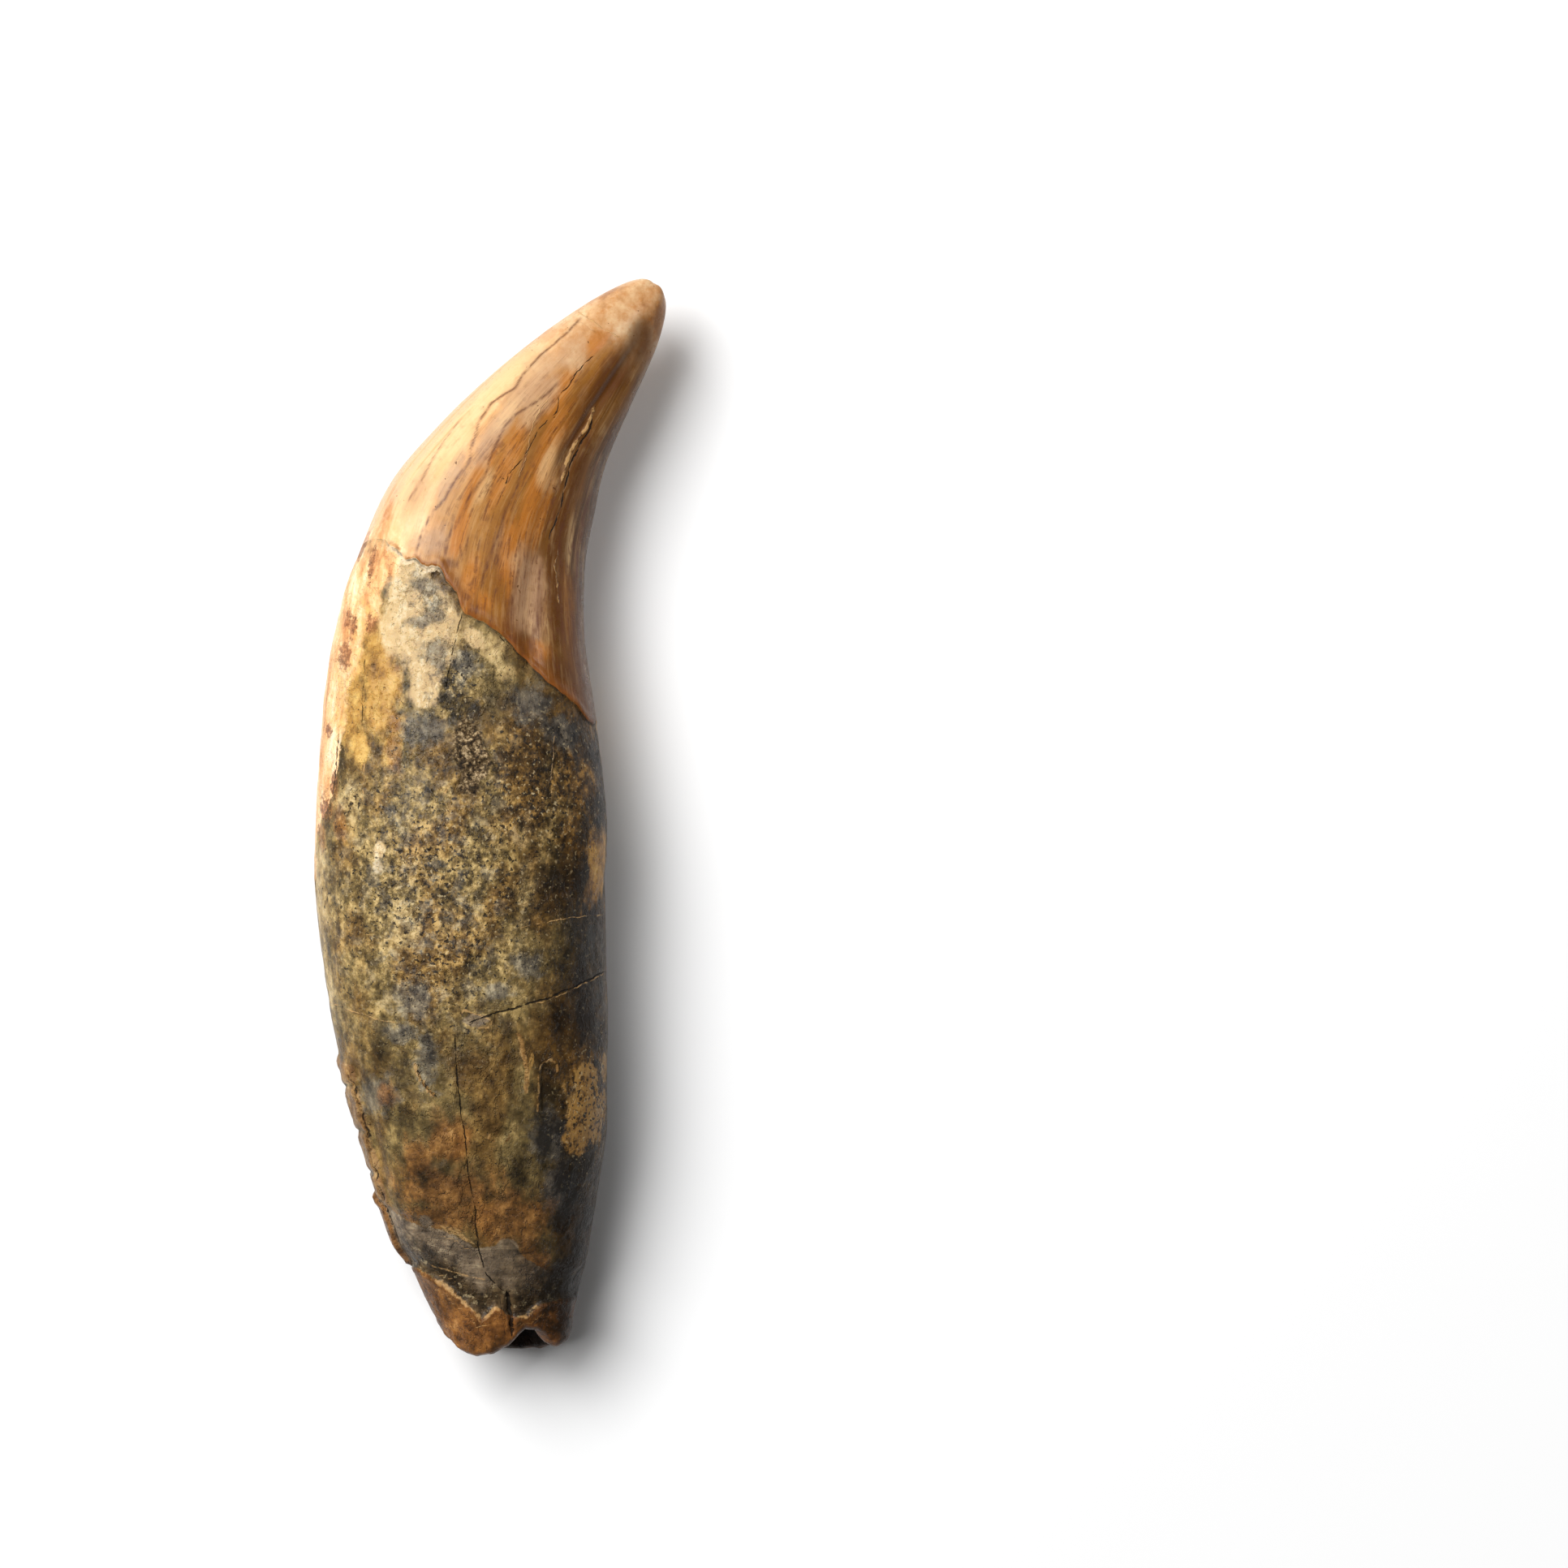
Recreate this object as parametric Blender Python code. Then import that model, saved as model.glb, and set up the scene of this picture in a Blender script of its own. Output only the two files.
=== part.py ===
"""A fossil cave bear canine tooth, lying on its side.

One solid: the curved crown with its worn round tip, the swollen root, and the open pulp canal
at the root's broken end. Blender units are metres and +Z is up. The origin is on the resting
surface, under the middle of the tooth. The crown points to +Y, and the concave side faces +X.
"""

import math

import bmesh
import bpy
import numpy as np

MM = 0.001

# Sections along the tooth, from the crown's tip to the root's end, in millimetres: the x and y
# of the convex edge, the x and y of the concave edge, half of the thickness, and the height of
# the underside over the resting surface.
SECTIONS = np.array([
    (14.6, 47.7, 14.6, 47.7, 0.0, 8.2),
    (12.8, 48.2, 15.7, 46.0, 1.8, 6.4),
    (8.9, 46.4, 14.9, 42.3, 3.3, 5.0),
    (3.6, 42.7, 12.5, 36.7, 4.6, 4.0),
    (-2.2, 37.7, 10.1, 31.3, 5.7, 3.0),
    (-7.3, 32.3, 8.9, 26.4, 6.7, 2.0),
    (-9.7, 28.8, 8.3, 23.1, 7.2, 1.5),
    (-11.5, 24.3, 8.2, 19.2, 7.8, 1.0),
    (-13.0, 19.5, 8.4, 15.3, 8.3, 0.5),
    (-14.6, 11.3, 9.3, 8.4, 9.0, -0.1),
    (-15.7, 0.5, 10.2, -0.3, 9.5, -0.25),
    (-15.7, -7.5, 10.2, -7.5, 9.6, -0.3),
    (-14.9, -14.6, 10.4, -14.4, 9.5, -0.3),
    (-13.1, -22.6, 10.6, -21.6, 9.0, -0.2),
    (-11.1, -30.0, 10.3, -28.4, 8.2, 0.1),
    (-8.9, -37.4, 8.8, -35.8, 7.1, 0.6),
    (-7.3, -39.9, 8.2, -39.3, 6.4, 0.9),
    (-5.9, -43.2, 7.5, -42.4, 5.7, 1.2),
    (-4.8, -45.7, 7.1, -45.3, 5.2, 1.4),
])
LAST = len(SECTIONS) - 1

# The outline of a section: how square the oval is, and how much thicker it is towards the
# convex edge than towards the concave one, at the crown and at the root.
ROOT_SQUARENESS = 2.3
CROWN_SQUARENESS = 2.1
ROOT_EGG = 0.03
CROWN_EGG = 0.13
NECK_Y = 14.0
NECK_LENGTH = 16.0

# The enamel's lower edge as y against the place across the tooth, from -1 at the convex edge
# to 1 at the concave edge, on the upper side and on the underside.
CERVICAL_UPPER = np.array([
    (-1.0, -0.6), (-0.9, -0.4), (-0.79, 11.0), (-0.72, 18.0), (-0.66, 24.0), (-0.55, 23.0),
    (-0.16, 21.3), (0.0, 19.2), (0.2, 17.1), (0.58, 13.2), (0.87, 10.2), (1.0, 7.9),
])
CERVICAL_UNDER = np.array([
    (-1.0, -0.6), (-0.85, 6.0), (-0.6, 19.5), (-0.1, 22.0), (0.4, 16.5), (1.0, 7.9),
])
ENAMEL_STEP = 0.32
ENAMEL_EDGE = 0.9
NECK_FADE = 14.0

# The groove beside the ridge on the crown's concave side.
GROOVE_PLACE = 0.56
GROOVE_WIDTH = 0.14
GROOVE_DEPTH = 0.28
GROOVE_FROM_Y, GROOVE_TO_Y = 13.0, 38.0

# The crust of cementum left along the convex edge of the lower root, as angle and y, and the
# sliver that is split from it lower down.
CRUST_ANGLE = 172.0
CRUST_SPREAD = 26.0
CRUST_FROM_Y, CRUST_TO_Y = -34.4, -20.0
CRUST_HEIGHT = 0.45
SLIVER_ANGLE = 180.0
SLIVER_SPREAD = 15.0
SLIVER_FROM_Y, SLIVER_TO_Y = -39.6, -35.0
SLIVER_HEIGHT = 0.55
SPLIT_ANGLE = 152.0
SPLIT_SPREAD = 9.0
SPLIT_DEPTH = 0.55

# The belt near the root's end where the outer layer has peeled off the upper side: its edges
# as x and y, towards the crown and towards the broken end.
PEEL_CROWNWARD = np.array([
    (-9.5, -34.6), (-7.0, -36.0), (-4.0, -36.8), (-1.0, -38.4), (0.4, -38.3), (1.8, -37.4),
    (3.1, -39.2), (5.0, -40.4), (9.0, -41.5),
])
PEEL_ENDWARD = np.array([
    (-6.5, -40.2), (-4.0, -41.6), (-2.5, -43.3), (-0.9, -44.5), (0.3, -43.7), (2.8, -44.6),
    (4.8, -43.8), (9.0, -42.5),
])
PEEL_STEP = 0.35
PEEL_SOFT = 0.6

# The broken end: its wall, the depth of the pulp canal, and how far the rim reaches past the
# last section against the angle round the tooth, from the concave edge over the upper side.
WALL = 1.7
CANAL_DEPTH = 14.0
CANAL_TAPER = 1.6
RIM_REACH = np.array([
    (0, 0.3), (26, 1.2), (44, 0.5), (62, -0.1), (78, 0.4), (108, 1.95), (135, 1.6), (160, 0.6),
    (185, -0.1), (225, 0.9), (270, 1.6), (310, 1.2), (340, 0.6),
])
RIM_BLEND = 2.2

# Numbers of rings along the tooth and of points round it.
CAP_RINGS = 7
BODY_RINGS = 58
RIM_RINGS = 5
CANAL_RINGS = 7
ROUND_POINTS = 56

ENAMEL_COLOUR = (0.66, 0.42, 0.20, 1.0)
ROUGHNESS = 0.42


def smooth_step(value, low, high):
    """0 up to low, 1 from high, and a smooth rise between them."""
    share = np.clip((value - low) / (high - low), 0.0, 1.0)
    return share * share * (3.0 - 2.0 * share)


def hump(value, middle, spread):
    """1 at the middle, falling smoothly to 0 at spread on either side."""
    return 1.0 - smooth_step(np.abs(value - middle), 0.0, spread)


def between(value, low, high, soft):
    """1 from low to high, with a soft rise and fall outside them."""
    return smooth_step(value, low - soft, low) * (1.0 - smooth_step(value, high, high + soft))


def section_at(place):
    """The table's columns at places along it, by a Catmull-Rom curve through its rows.

    The row before the tip is the next one with its edges exchanged and its thickness negative,
    so that the curves run through the tip and close it in a round cap.
    """
    before = SECTIONS[1, [2, 3, 0, 1, 4, 5]] * (1, 1, 1, 1, -1, 1)
    after = 2 * SECTIONS[-1] - SECTIONS[-2]
    rows = np.vstack([before, SECTIONS, after])
    first = np.clip(np.floor(place).astype(int), 0, LAST - 1)
    share = (place - first)[:, None]
    a, b, c, d = (rows[first + step] for step in range(4))
    return 0.5 * (
        2 * b
        + (c - a) * share
        + (2 * a - 5 * b + 4 * c - d) * share**2
        + (3 * b - a - 3 * c + d) * share**3
    )


def ring_frames():
    """Centre, half width as a vector, half thickness, and outside share of each ring.

    The rings run from the tip down the outside, round the rim, and up the pulp canal.
    """
    cap = 1.0 - np.cos(np.linspace(0.12, 0.5, CAP_RINGS) * math.pi)
    body = np.linspace(1.0, LAST, BODY_RINGS + 1)[1:]
    columns = section_at(np.concatenate([cap, body]))
    convex, concave = columns[:, 0:2], columns[:, 2:4]
    thick, low = columns[:, 4], columns[:, 5]
    centre = np.column_stack([(convex + concave) / 2, low + thick])
    side = np.column_stack([(concave - convex) / 2, np.zeros(len(thick))])
    outside = np.ones(len(thick))

    end, end_side, end_thick = centre[-1], side[-1], thick[-1]
    along = centre[-1] - centre[-4]
    along /= np.linalg.norm(along)
    half_width = np.linalg.norm(end_side)
    turn = np.linspace(0, math.pi, RIM_RINGS + 1)[1:]
    inset = WALL * (1 - np.cos(turn)) / 2
    depth = -WALL * np.sin(turn) / 2
    share = np.linspace(0, 1, CANAL_RINGS + 2)[1:-1]
    narrow = 1 - share**CANAL_TAPER
    inset = np.concatenate([inset, half_width - (half_width - WALL) * narrow])
    depth = np.concatenate([depth, CANAL_DEPTH * share])
    flat_inset = np.concatenate([inset[:RIM_RINGS], end_thick - (end_thick - WALL) * narrow])
    centre = np.vstack([centre, end - along * depth[:, None]])
    side = np.vstack([side, end_side * (1 - inset / half_width)[:, None]])
    thick = np.concatenate([thick, end_thick - flat_inset])
    outside = np.concatenate([outside, np.clip(1 - inset / WALL, 0, 1)])
    poles = np.array([
        [*SECTIONS[0, 0:2], SECTIONS[0, 5]],
        end - along * CANAL_DEPTH,
    ])
    return centre, side, thick, outside, along, poles


def relief(x, y, across, angle, upper):
    """How far the skin stands out, in millimetres, for its natural swells, ledges and splits."""
    radians = np.radians(angle)
    swell = (
        0.16 * np.sin(2 * radians + 0.11 * y)
        + 0.10 * np.sin(3 * radians - 0.17 * y + 1.3)
        + 0.07 * np.sin(5 * radians + 0.31 * y + 0.4)
    )
    line = np.where(
        upper,
        np.interp(across, CERVICAL_UPPER[:, 0], CERVICAL_UPPER[:, 1]),
        np.interp(across, CERVICAL_UNDER[:, 0], CERVICAL_UNDER[:, 1]),
    )
    neck = ENAMEL_STEP * smooth_step(line - y, -ENAMEL_EDGE / 2, ENAMEL_EDGE / 2)
    neck = neck * (1 - smooth_step(line - y, ENAMEL_EDGE, NECK_FADE))
    groove = GROOVE_DEPTH * hump(across, GROOVE_PLACE, GROOVE_WIDTH)
    groove = groove * between(y, GROOVE_FROM_Y, GROOVE_TO_Y, 6.0)
    lumps = 0.7 + 0.3 * np.sin(1.9 * y + 0.6) * np.sin(0.8 * y)
    crust = CRUST_HEIGHT * lumps * between(angle, CRUST_ANGLE - CRUST_SPREAD,
                                           CRUST_ANGLE + CRUST_SPREAD, 7.0)
    crust = crust * between(y, CRUST_FROM_Y, CRUST_TO_Y, 0.8)
    height = between(y, SLIVER_FROM_Y, SLIVER_TO_Y, 0.6)
    sliver = SLIVER_HEIGHT * height * between(angle, SLIVER_ANGLE - SLIVER_SPREAD,
                                              SLIVER_ANGLE + SLIVER_SPREAD, 6.0)
    split = SPLIT_DEPTH * height * hump(angle, SPLIT_ANGLE, SPLIT_SPREAD)
    crownward = np.interp(x, PEEL_CROWNWARD[:, 0], PEEL_CROWNWARD[:, 1])
    endward = np.interp(x, PEEL_ENDWARD[:, 0], PEEL_ENDWARD[:, 1])
    peel = np.where(upper, PEEL_STEP * between(y, endward, crownward, PEEL_SOFT), 0.0)
    return swell - neck - groove + crust + sliver - split - peel


def skin():
    """The rings' points, as an array of rings by points by xyz, and the two poles, in metres."""
    centre, side, thick, outside, along, poles = ring_frames()
    angle = np.linspace(0, 360, ROUND_POINTS, endpoint=False)[None, :]
    cosine, sine = np.cos(np.radians(angle)), np.sin(np.radians(angle))
    crown = smooth_step(centre[:, 1:2], NECK_Y - NECK_LENGTH / 2, NECK_Y + NECK_LENGTH / 2)
    power = 2 / (ROOT_SQUARENESS + (CROWN_SQUARENESS - ROOT_SQUARENESS) * crown)
    egg = ROOT_EGG + (CROWN_EGG - ROOT_EGG) * crown
    across = np.sign(cosine) * np.abs(cosine) ** power
    over = np.sign(sine) * np.abs(sine) ** power * (1 - egg * across)
    points = centre[:, None, :] + side[:, None, :] * across[:, :, None]
    points[:, :, 2] += thick[:, None] * over

    reach_angle = np.append(RIM_REACH[:, 0], RIM_REACH[0, 0] + 360)
    reach = np.interp(angle, reach_angle, np.append(RIM_REACH[:, 1], RIM_REACH[0, 1]))
    before_end = np.linalg.norm(centre - centre[CAP_RINGS + BODY_RINGS - 1], axis=1)
    near_end = smooth_step(-before_end, -RIM_BLEND * 2, 0.0)[:, None]
    points += (reach * near_end)[:, :, None] * along

    outward = points - centre[:, None, :]
    outward /= np.linalg.norm(outward, axis=2, keepdims=True)
    spread = np.broadcast_to(across, points.shape[:2])
    turned = np.broadcast_to(angle, points.shape[:2])
    stands = relief(points[:, :, 0], points[:, :, 1], spread, turned, sine >= 0)
    size = smooth_step(np.linalg.norm(side, axis=1), 0.5, 5.0)
    points += outward * (stands * (outside * size)[:, None])[:, :, None]
    return points * MM, poles * MM


def closed_loft(points, poles):
    """Quads between the rings, and a fan of triangles from the first and last ring to a pole."""
    mesh = bmesh.new()
    rings = [[mesh.verts.new(point) for point in ring] for ring in points]
    first, last = mesh.verts.new(poles[0]), mesh.verts.new(poles[1])
    for here, there in zip(rings, rings[1:]):
        for i in range(ROUND_POINTS):
            j = (i + 1) % ROUND_POINTS
            mesh.faces.new((here[i], here[j], there[j], there[i]))
    for i in range(ROUND_POINTS):
        j = (i + 1) % ROUND_POINTS
        mesh.faces.new((first, rings[0][j], rings[0][i]))
        mesh.faces.new((last, rings[-1][i], rings[-1][j]))
    bmesh.ops.recalc_face_normals(mesh, faces=mesh.faces)
    return mesh


def flatten_underside(mesh):
    """Cuts off what lies under the resting surface, and closes the cut with one flat face."""
    everything = mesh.verts[:] + mesh.edges[:] + mesh.faces[:]
    cut = bmesh.ops.bisect_plane(
        mesh, geom=everything, dist=1e-6, plane_co=(0, 0, 0), plane_no=(0, 0, -1),
        clear_outer=True,
    )
    edges = [item for item in cut["geom_cut"] if isinstance(item, bmesh.types.BMEdge)]
    bmesh.ops.holes_fill(mesh, edges=edges, sides=0)
    bmesh.ops.recalc_face_normals(mesh, faces=mesh.faces)


def bone_material():
    material = bpy.data.materials.new("fossil tooth")
    material.use_nodes = True
    shader = material.node_tree.nodes["Principled BSDF"]
    shader.inputs["Base Color"].default_value = ENAMEL_COLOUR
    shader.inputs["Roughness"].default_value = ROUGHNESS
    shader.inputs["Metallic"].default_value = 0.0
    return material


def build_tooth(collection):
    """The tooth as one closed solid, named canine_tooth."""
    mesh = closed_loft(*skin())
    flatten_underside(mesh)
    data = bpy.data.meshes.new("canine_tooth")
    mesh.to_mesh(data)
    mesh.free()
    data.materials.append(bone_material())
    data.shade_smooth()
    data.set_sharp_from_angle(angle=math.radians(40))
    tooth = bpy.data.objects.new("canine_tooth", data)
    collection.objects.link(tooth)
    return tooth


def main():
    for old in list(bpy.data.objects):
        bpy.data.objects.remove(old, do_unlink=True)
    collection = bpy.data.collections.new("fossil cave bear tooth")
    bpy.context.scene.collection.children.link(collection)
    build_tooth(collection)


main()
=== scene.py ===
"""The look of a fossil cave bear canine tooth, lying on its side on a pale floor.

One skin stands for the whole tooth. It runs from the worn tip down the crown, over the chipped
edge of the enamel, down the stained root, round the broken rim, and up the pulp canal. Places on
it are in millimetres in the tooth's own frame: the crown points to +Y, the concave side faces +X,
and the upper side faces +Z. The angle round the tooth is 0 at the concave edge, 90 on the upper
side, 180 at the convex edge, and 270 on the underside.
"""

import itertools
import math

import bpy
import numpy as np
from bpy.props import FloatProperty, FloatVectorProperty, PointerProperty
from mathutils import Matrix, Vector


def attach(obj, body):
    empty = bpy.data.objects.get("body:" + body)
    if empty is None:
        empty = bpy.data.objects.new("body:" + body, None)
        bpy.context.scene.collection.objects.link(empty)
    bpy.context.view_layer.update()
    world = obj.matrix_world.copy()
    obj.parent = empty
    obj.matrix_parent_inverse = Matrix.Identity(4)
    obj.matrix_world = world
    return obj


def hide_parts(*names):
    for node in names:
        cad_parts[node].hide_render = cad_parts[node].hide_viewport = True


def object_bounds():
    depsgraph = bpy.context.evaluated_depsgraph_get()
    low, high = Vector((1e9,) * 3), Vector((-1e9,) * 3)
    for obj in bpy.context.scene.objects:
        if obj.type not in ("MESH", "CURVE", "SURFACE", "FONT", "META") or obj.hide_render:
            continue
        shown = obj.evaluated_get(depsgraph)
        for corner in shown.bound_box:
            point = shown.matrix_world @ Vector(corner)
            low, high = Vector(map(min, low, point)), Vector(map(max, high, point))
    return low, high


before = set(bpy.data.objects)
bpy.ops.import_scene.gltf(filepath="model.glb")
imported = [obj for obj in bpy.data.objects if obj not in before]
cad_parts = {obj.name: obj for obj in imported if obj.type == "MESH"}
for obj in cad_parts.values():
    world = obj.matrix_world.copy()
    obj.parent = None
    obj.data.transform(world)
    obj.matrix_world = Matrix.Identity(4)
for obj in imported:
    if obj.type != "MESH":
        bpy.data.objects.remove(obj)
SOLID_LOW, SOLID_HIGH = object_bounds()

bl_info = {
    "name": "Fossil cave bear tooth",
    "version": (1, 0, 0),
    "blender": (4, 5, 0),
    "location": "3D View > Sidebar > Fossil Tooth",
    "description": "Builds a cave bear canine with its enamel, stained root and broken end",
    "category": "Object",
}

MM = 0.001

# Sections along the tooth, from the crown's tip to the root's end: the x and y of the convex
# edge, the x and y of the concave edge, half of the thickness, and the height of the underside.
SECTIONS = np.array([
    (14.6, 47.7, 14.6, 47.7, 0.0, 8.2),
    (12.8, 48.2, 15.7, 46.0, 1.8, 6.4),
    (8.9, 46.4, 14.9, 42.3, 3.3, 5.0),
    (3.6, 42.7, 12.5, 36.7, 4.6, 4.0),
    (-2.2, 37.7, 10.1, 31.3, 5.7, 3.0),
    (-7.3, 32.3, 8.9, 26.4, 6.7, 2.0),
    (-9.7, 28.8, 8.3, 23.1, 7.2, 1.5),
    (-11.5, 24.3, 8.2, 19.2, 7.8, 1.0),
    (-13.0, 19.5, 8.4, 15.3, 8.3, 0.5),
    (-14.6, 11.3, 9.3, 8.4, 9.0, -0.1),
    (-15.7, 0.5, 10.2, -0.3, 9.5, -0.25),
    (-15.7, -7.5, 10.2, -7.5, 9.6, -0.3),
    (-14.9, -14.6, 10.4, -14.4, 9.5, -0.3),
    (-13.1, -22.6, 10.6, -21.6, 9.0, -0.2),
    (-11.1, -30.0, 10.3, -28.4, 8.2, 0.1),
    (-8.9, -37.4, 8.8, -35.8, 7.1, 0.6),
    (-7.3, -39.9, 8.2, -39.3, 6.4, 0.9),
    (-5.9, -43.2, 7.5, -42.4, 5.7, 1.2),
    (-4.8, -45.7, 7.1, -45.3, 5.2, 1.4),
])
LAST = len(SECTIONS) - 1

# The outline of a section: how square the oval is, and how much thicker it is towards the
# convex edge, at the crown and at the root.
ROOT_SQUARENESS, CROWN_SQUARENESS = 2.3, 2.1
ROOT_EGG, CROWN_EGG = 0.03, 0.13
NECK_Y, NECK_LENGTH = 14.0, 16.0

# Where the grain of the crown fades into its worn tip, in y.
TIP_FROM_Y, TIP_TO_Y = 38.0, 44.0

# The chipped edge of the enamel across the upper side, as x and y, and the smooth edge round
# the rest of the neck, as angle and y.
CHIPPED_EDGE = np.array([
    (-8.3, 23.9), (-7.8, 23.3), (-7.2, 22.9), (-6.5, 22.95), (-5.9, 22.5), (-5.4, 22.3),
    (-4.9, 22.45), (-4.3, 22.1), (-3.8, 21.5), (-3.6, 20.9), (-3.1, 20.5), (-2.7, 19.9),
    (-2.5, 19.2), (-2.4, 18.7), (-2.0, 18.0), (-1.2, 17.6), (-0.4, 17.3), (0.7, 16.6), (1.8, 15.7),
    (3.0, 14.5), (4.0, 13.4), (5.1, 12.2), (6.2, 11.3), (7.0, 10.6), (7.8, 9.8), (8.5, 8.8),
    (9.4, 7.7),
])
SMOOTH_EDGE = np.array([
    (0, 7.9), (12, 8.6), (120, 23.9), (150, 25.0), (180, 24.0), (215, 21.0), (240, 20.5),
    (268, 22.0), (300, 17.5), (330, 12.0), (360, 7.9),
])
CHIPPED_FROM_ANGLE, CHIPPED_TO_ANGLE, CHIPPED_FADE = 14.0, 133.0, 8.0

# The small chips along it: their depth, their size, and the radius of the circle that stands for
# the way round the tooth in their noise.
CHIP_DEPTH, CHIP_SIZE, CHIP_CIRCLE = 0.22, 0.9, 12

# Degrees on either side over which the smooth edge is averaged.
EDGE_ROUNDING = 14.0

# The ledge where the enamel ends, from which the root rises back: the length of its drop and how
# much shorter it is at the chipped edge, its unevenness, the angles and shares by which it is lower
# on the concave and the convex side, the stretch over which the root rises, and the enamel's lip.
LEDGE_DROP, LEDGE_SHARPENING = 0.7, 0.58
LEDGE_UNEVENNESS = 0.25
LEDGE_CONCAVE, LEDGE_CONCAVE_LOSS = (0, 92, 10), 0.55
LEDGE_CONVEX, LEDGE_CONVEX_LOSS = (128, 214, 16), 0.95
LEDGE_RETURN = (0.9, 14.0)
LEDGE_LIP = 0.07

# The tongue of pale cementum that runs down the convex edge from the crown: its margins as the
# angle against y.
TONGUE_UPPER = np.array([
    (-10.5, 187), (-7.0, 178), (-4.0, 171), (-1.5, 163), (0.5, 153), (2.2, 146), (4.8, 144),
    (7.7, 142), (11.3, 140), (16.0, 135), (20.8, 130), (24.3, 127), (30.0, 122),
])
TONGUE_UNDER = np.array([
    (-10.5, 187), (-6.0, 191), (-2.0, 194), (2.0, 202), (8.0, 204), (16.0, 215), (24.0, 226),
    (30.0, 234),
])

# The broken end: how far the rim reaches past the last section, as angle and reach. It fades out
# over twice RIM_BLEND from the end, and CANAL_TAPER is the power by which the canal narrows.
RIM_REACH = np.array([
    (0, -0.5), (12, 0.2), (24, 1.0), (36, 1.15), (46, 0.75), (52, 0.1), (59, -0.5), (71, -0.6),
    (79, 0.0), (88, 0.9), (100, 1.6), (118, 1.95), (135, 1.5), (152, 0.4), (168, -0.7),
    (185, -1.0), (215, 0.5), (250, 1.9), (275, 2.2), (300, 2.1), (320, 1.4), (342, 0.2),
    (360, -0.5),
])
RIM_RAGGEDNESS = 0.10
RIM_BLEND = 2.2
CANAL_TAPER = 1.6

# How far back along the sections the root's direction at its end is measured from.
END_STEP = 0.88

# Fine lines on the upper side, each as its points in x and y, its half width and the depth of
# its groove, which is negative for a ridge. Dark lines are open cracks, except the line along the
# crust's edge, which is painted shadow over a shallow groove, and pale lines are cracks filled with
# light mineral.
DARK_LINES = [
    ([(9.4, 41.1), (7.6, 39.3), (7.0, 38.1), (6.2, 37.3), (6.1, 35.9), (5.5, 35.3), (4.5, 34.4),
      (3.7, 33.0), (3.0, 31.7), (1.9, 30.4), (1.4, 29.3), (0.9, 27.9)], 0.022, 0.01),
    ([(9.3, 35.6), (9.0, 34.3), (8.2, 33.1), (7.9, 32.3), (7.3, 31.0), (6.8, 28.8), (6.3, 26.8),
      (5.4, 24.4)], 0.04, 0.06),
    ([(-2.2, 18.2), (-2.7, 16.1), (-3.0, 14.6), (-3.4, 12.7), (-3.6, 11.3)], 0.022, 0.02),
    ([(11.4, -13.2), (10.5, -13.7), (8.7, -14.5), (6.9, -15.3), (5.4, -15.9), (4.0, -16.3),
      (2.5, -16.8), (1.1, -17.1), (-0.4, -17.7), (-1.4, -18.0), (-2.2, -18.2)], 0.05, 0.06),
    ([(-2.8, -18.9), (-2.7, -21.3), (-2.5, -24.2), (-2.1, -27.1), (-1.8, -30.0), (-1.5, -32.9),
      (-1.2, -34.3), (-1.1, -35.8), (-0.9, -38.7), (-0.5, -40.3), (0.1, -41.1), (0.7, -41.7),
      (1.5, -42.4)], 0.035, 0.05),
    ([(1.6, -42.2), (1.8, -43.4), (2.0, -44.5), (2.0, -46.4)], 0.15, 0.40),
    ([(-10.9, 14.4), (-11.0, 12.0), (-11.1, 9.6), (-11.1, 7.6)], 0.02, 0.02),
    ([(-13.1, 7.6), (-13.3, 5.2), (-13.6, 3.4), (-13.9, 1.6)], 0.03, 0.02),
    ([(-6.2, -21.9), (-6.0, -22.6), (-5.6, -23.5), (-4.9, -24.3), (-4.3, -24.7)], 0.05, 0.05),
    # The crust's edge: a painted shadow line beside the raised crust.
    ([(-12.2, -22.4), (-11.6, -24.6), (-10.9, -27.0), (-10.3, -29.6), (-9.6, -32.4),
      (-9.1, -34.4)], 0.03, 0.06),
    ([(0.9, 16.3), (1.6, 15.5), (2.1, 14.8)], 0.04, 0.02),
]
PALE_LINES = [
    ([(7.7, 45.2), (8.1, 44.8), (8.6, 44.4), (9.4, 43.8), (10.3, 43.2), (11.6, 42.5)], 0.04, 0.02),
    ([(5.9, 37.6), (4.6, 36.2), (4.0, 35.0), (3.5, 33.0), (3.2, 31.5), (2.7, 29.8)], 0.03, 0.0),
    ([(-14.8, -16.4), (-13.8, -16.7), (-12.0, -17.1), (-9.8, -17.8), (-7.6, -18.2)], 0.04, 0.02),
    ([(2.5, -9.9), (5.4, -9.2), (6.9, -9.0), (8.8, -8.7), (10.5, -8.7)], 0.04, 0.0),
    ([(-10.8, 6.2), (-10.9, 3.4), (-11.1, 1.2)], 0.04, 0.02),
    ([(11.3, -13.45), (10.5, -13.9), (8.7, -14.7), (6.9, -15.5), (5.4, -16.1),
      (4.0, -16.5)], 0.035, 0.0),
    ([(9.6, 36.6), (8.8, 34.6), (7.8, 33.2), (7.4, 32.3), (6.9, 31.0), (6.5, 29.4)], 0.09, -0.09),
    ([(6.3, 24.0), (6.0, 22.4), (6.1, 20.4), (6.2, 18.6)], 0.03, 0.0),
    ([(5.9, 8.0), (5.7, 4.0), (5.65, 1.0), (5.5, -2.0)], 0.02, 0.0),
]
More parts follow.
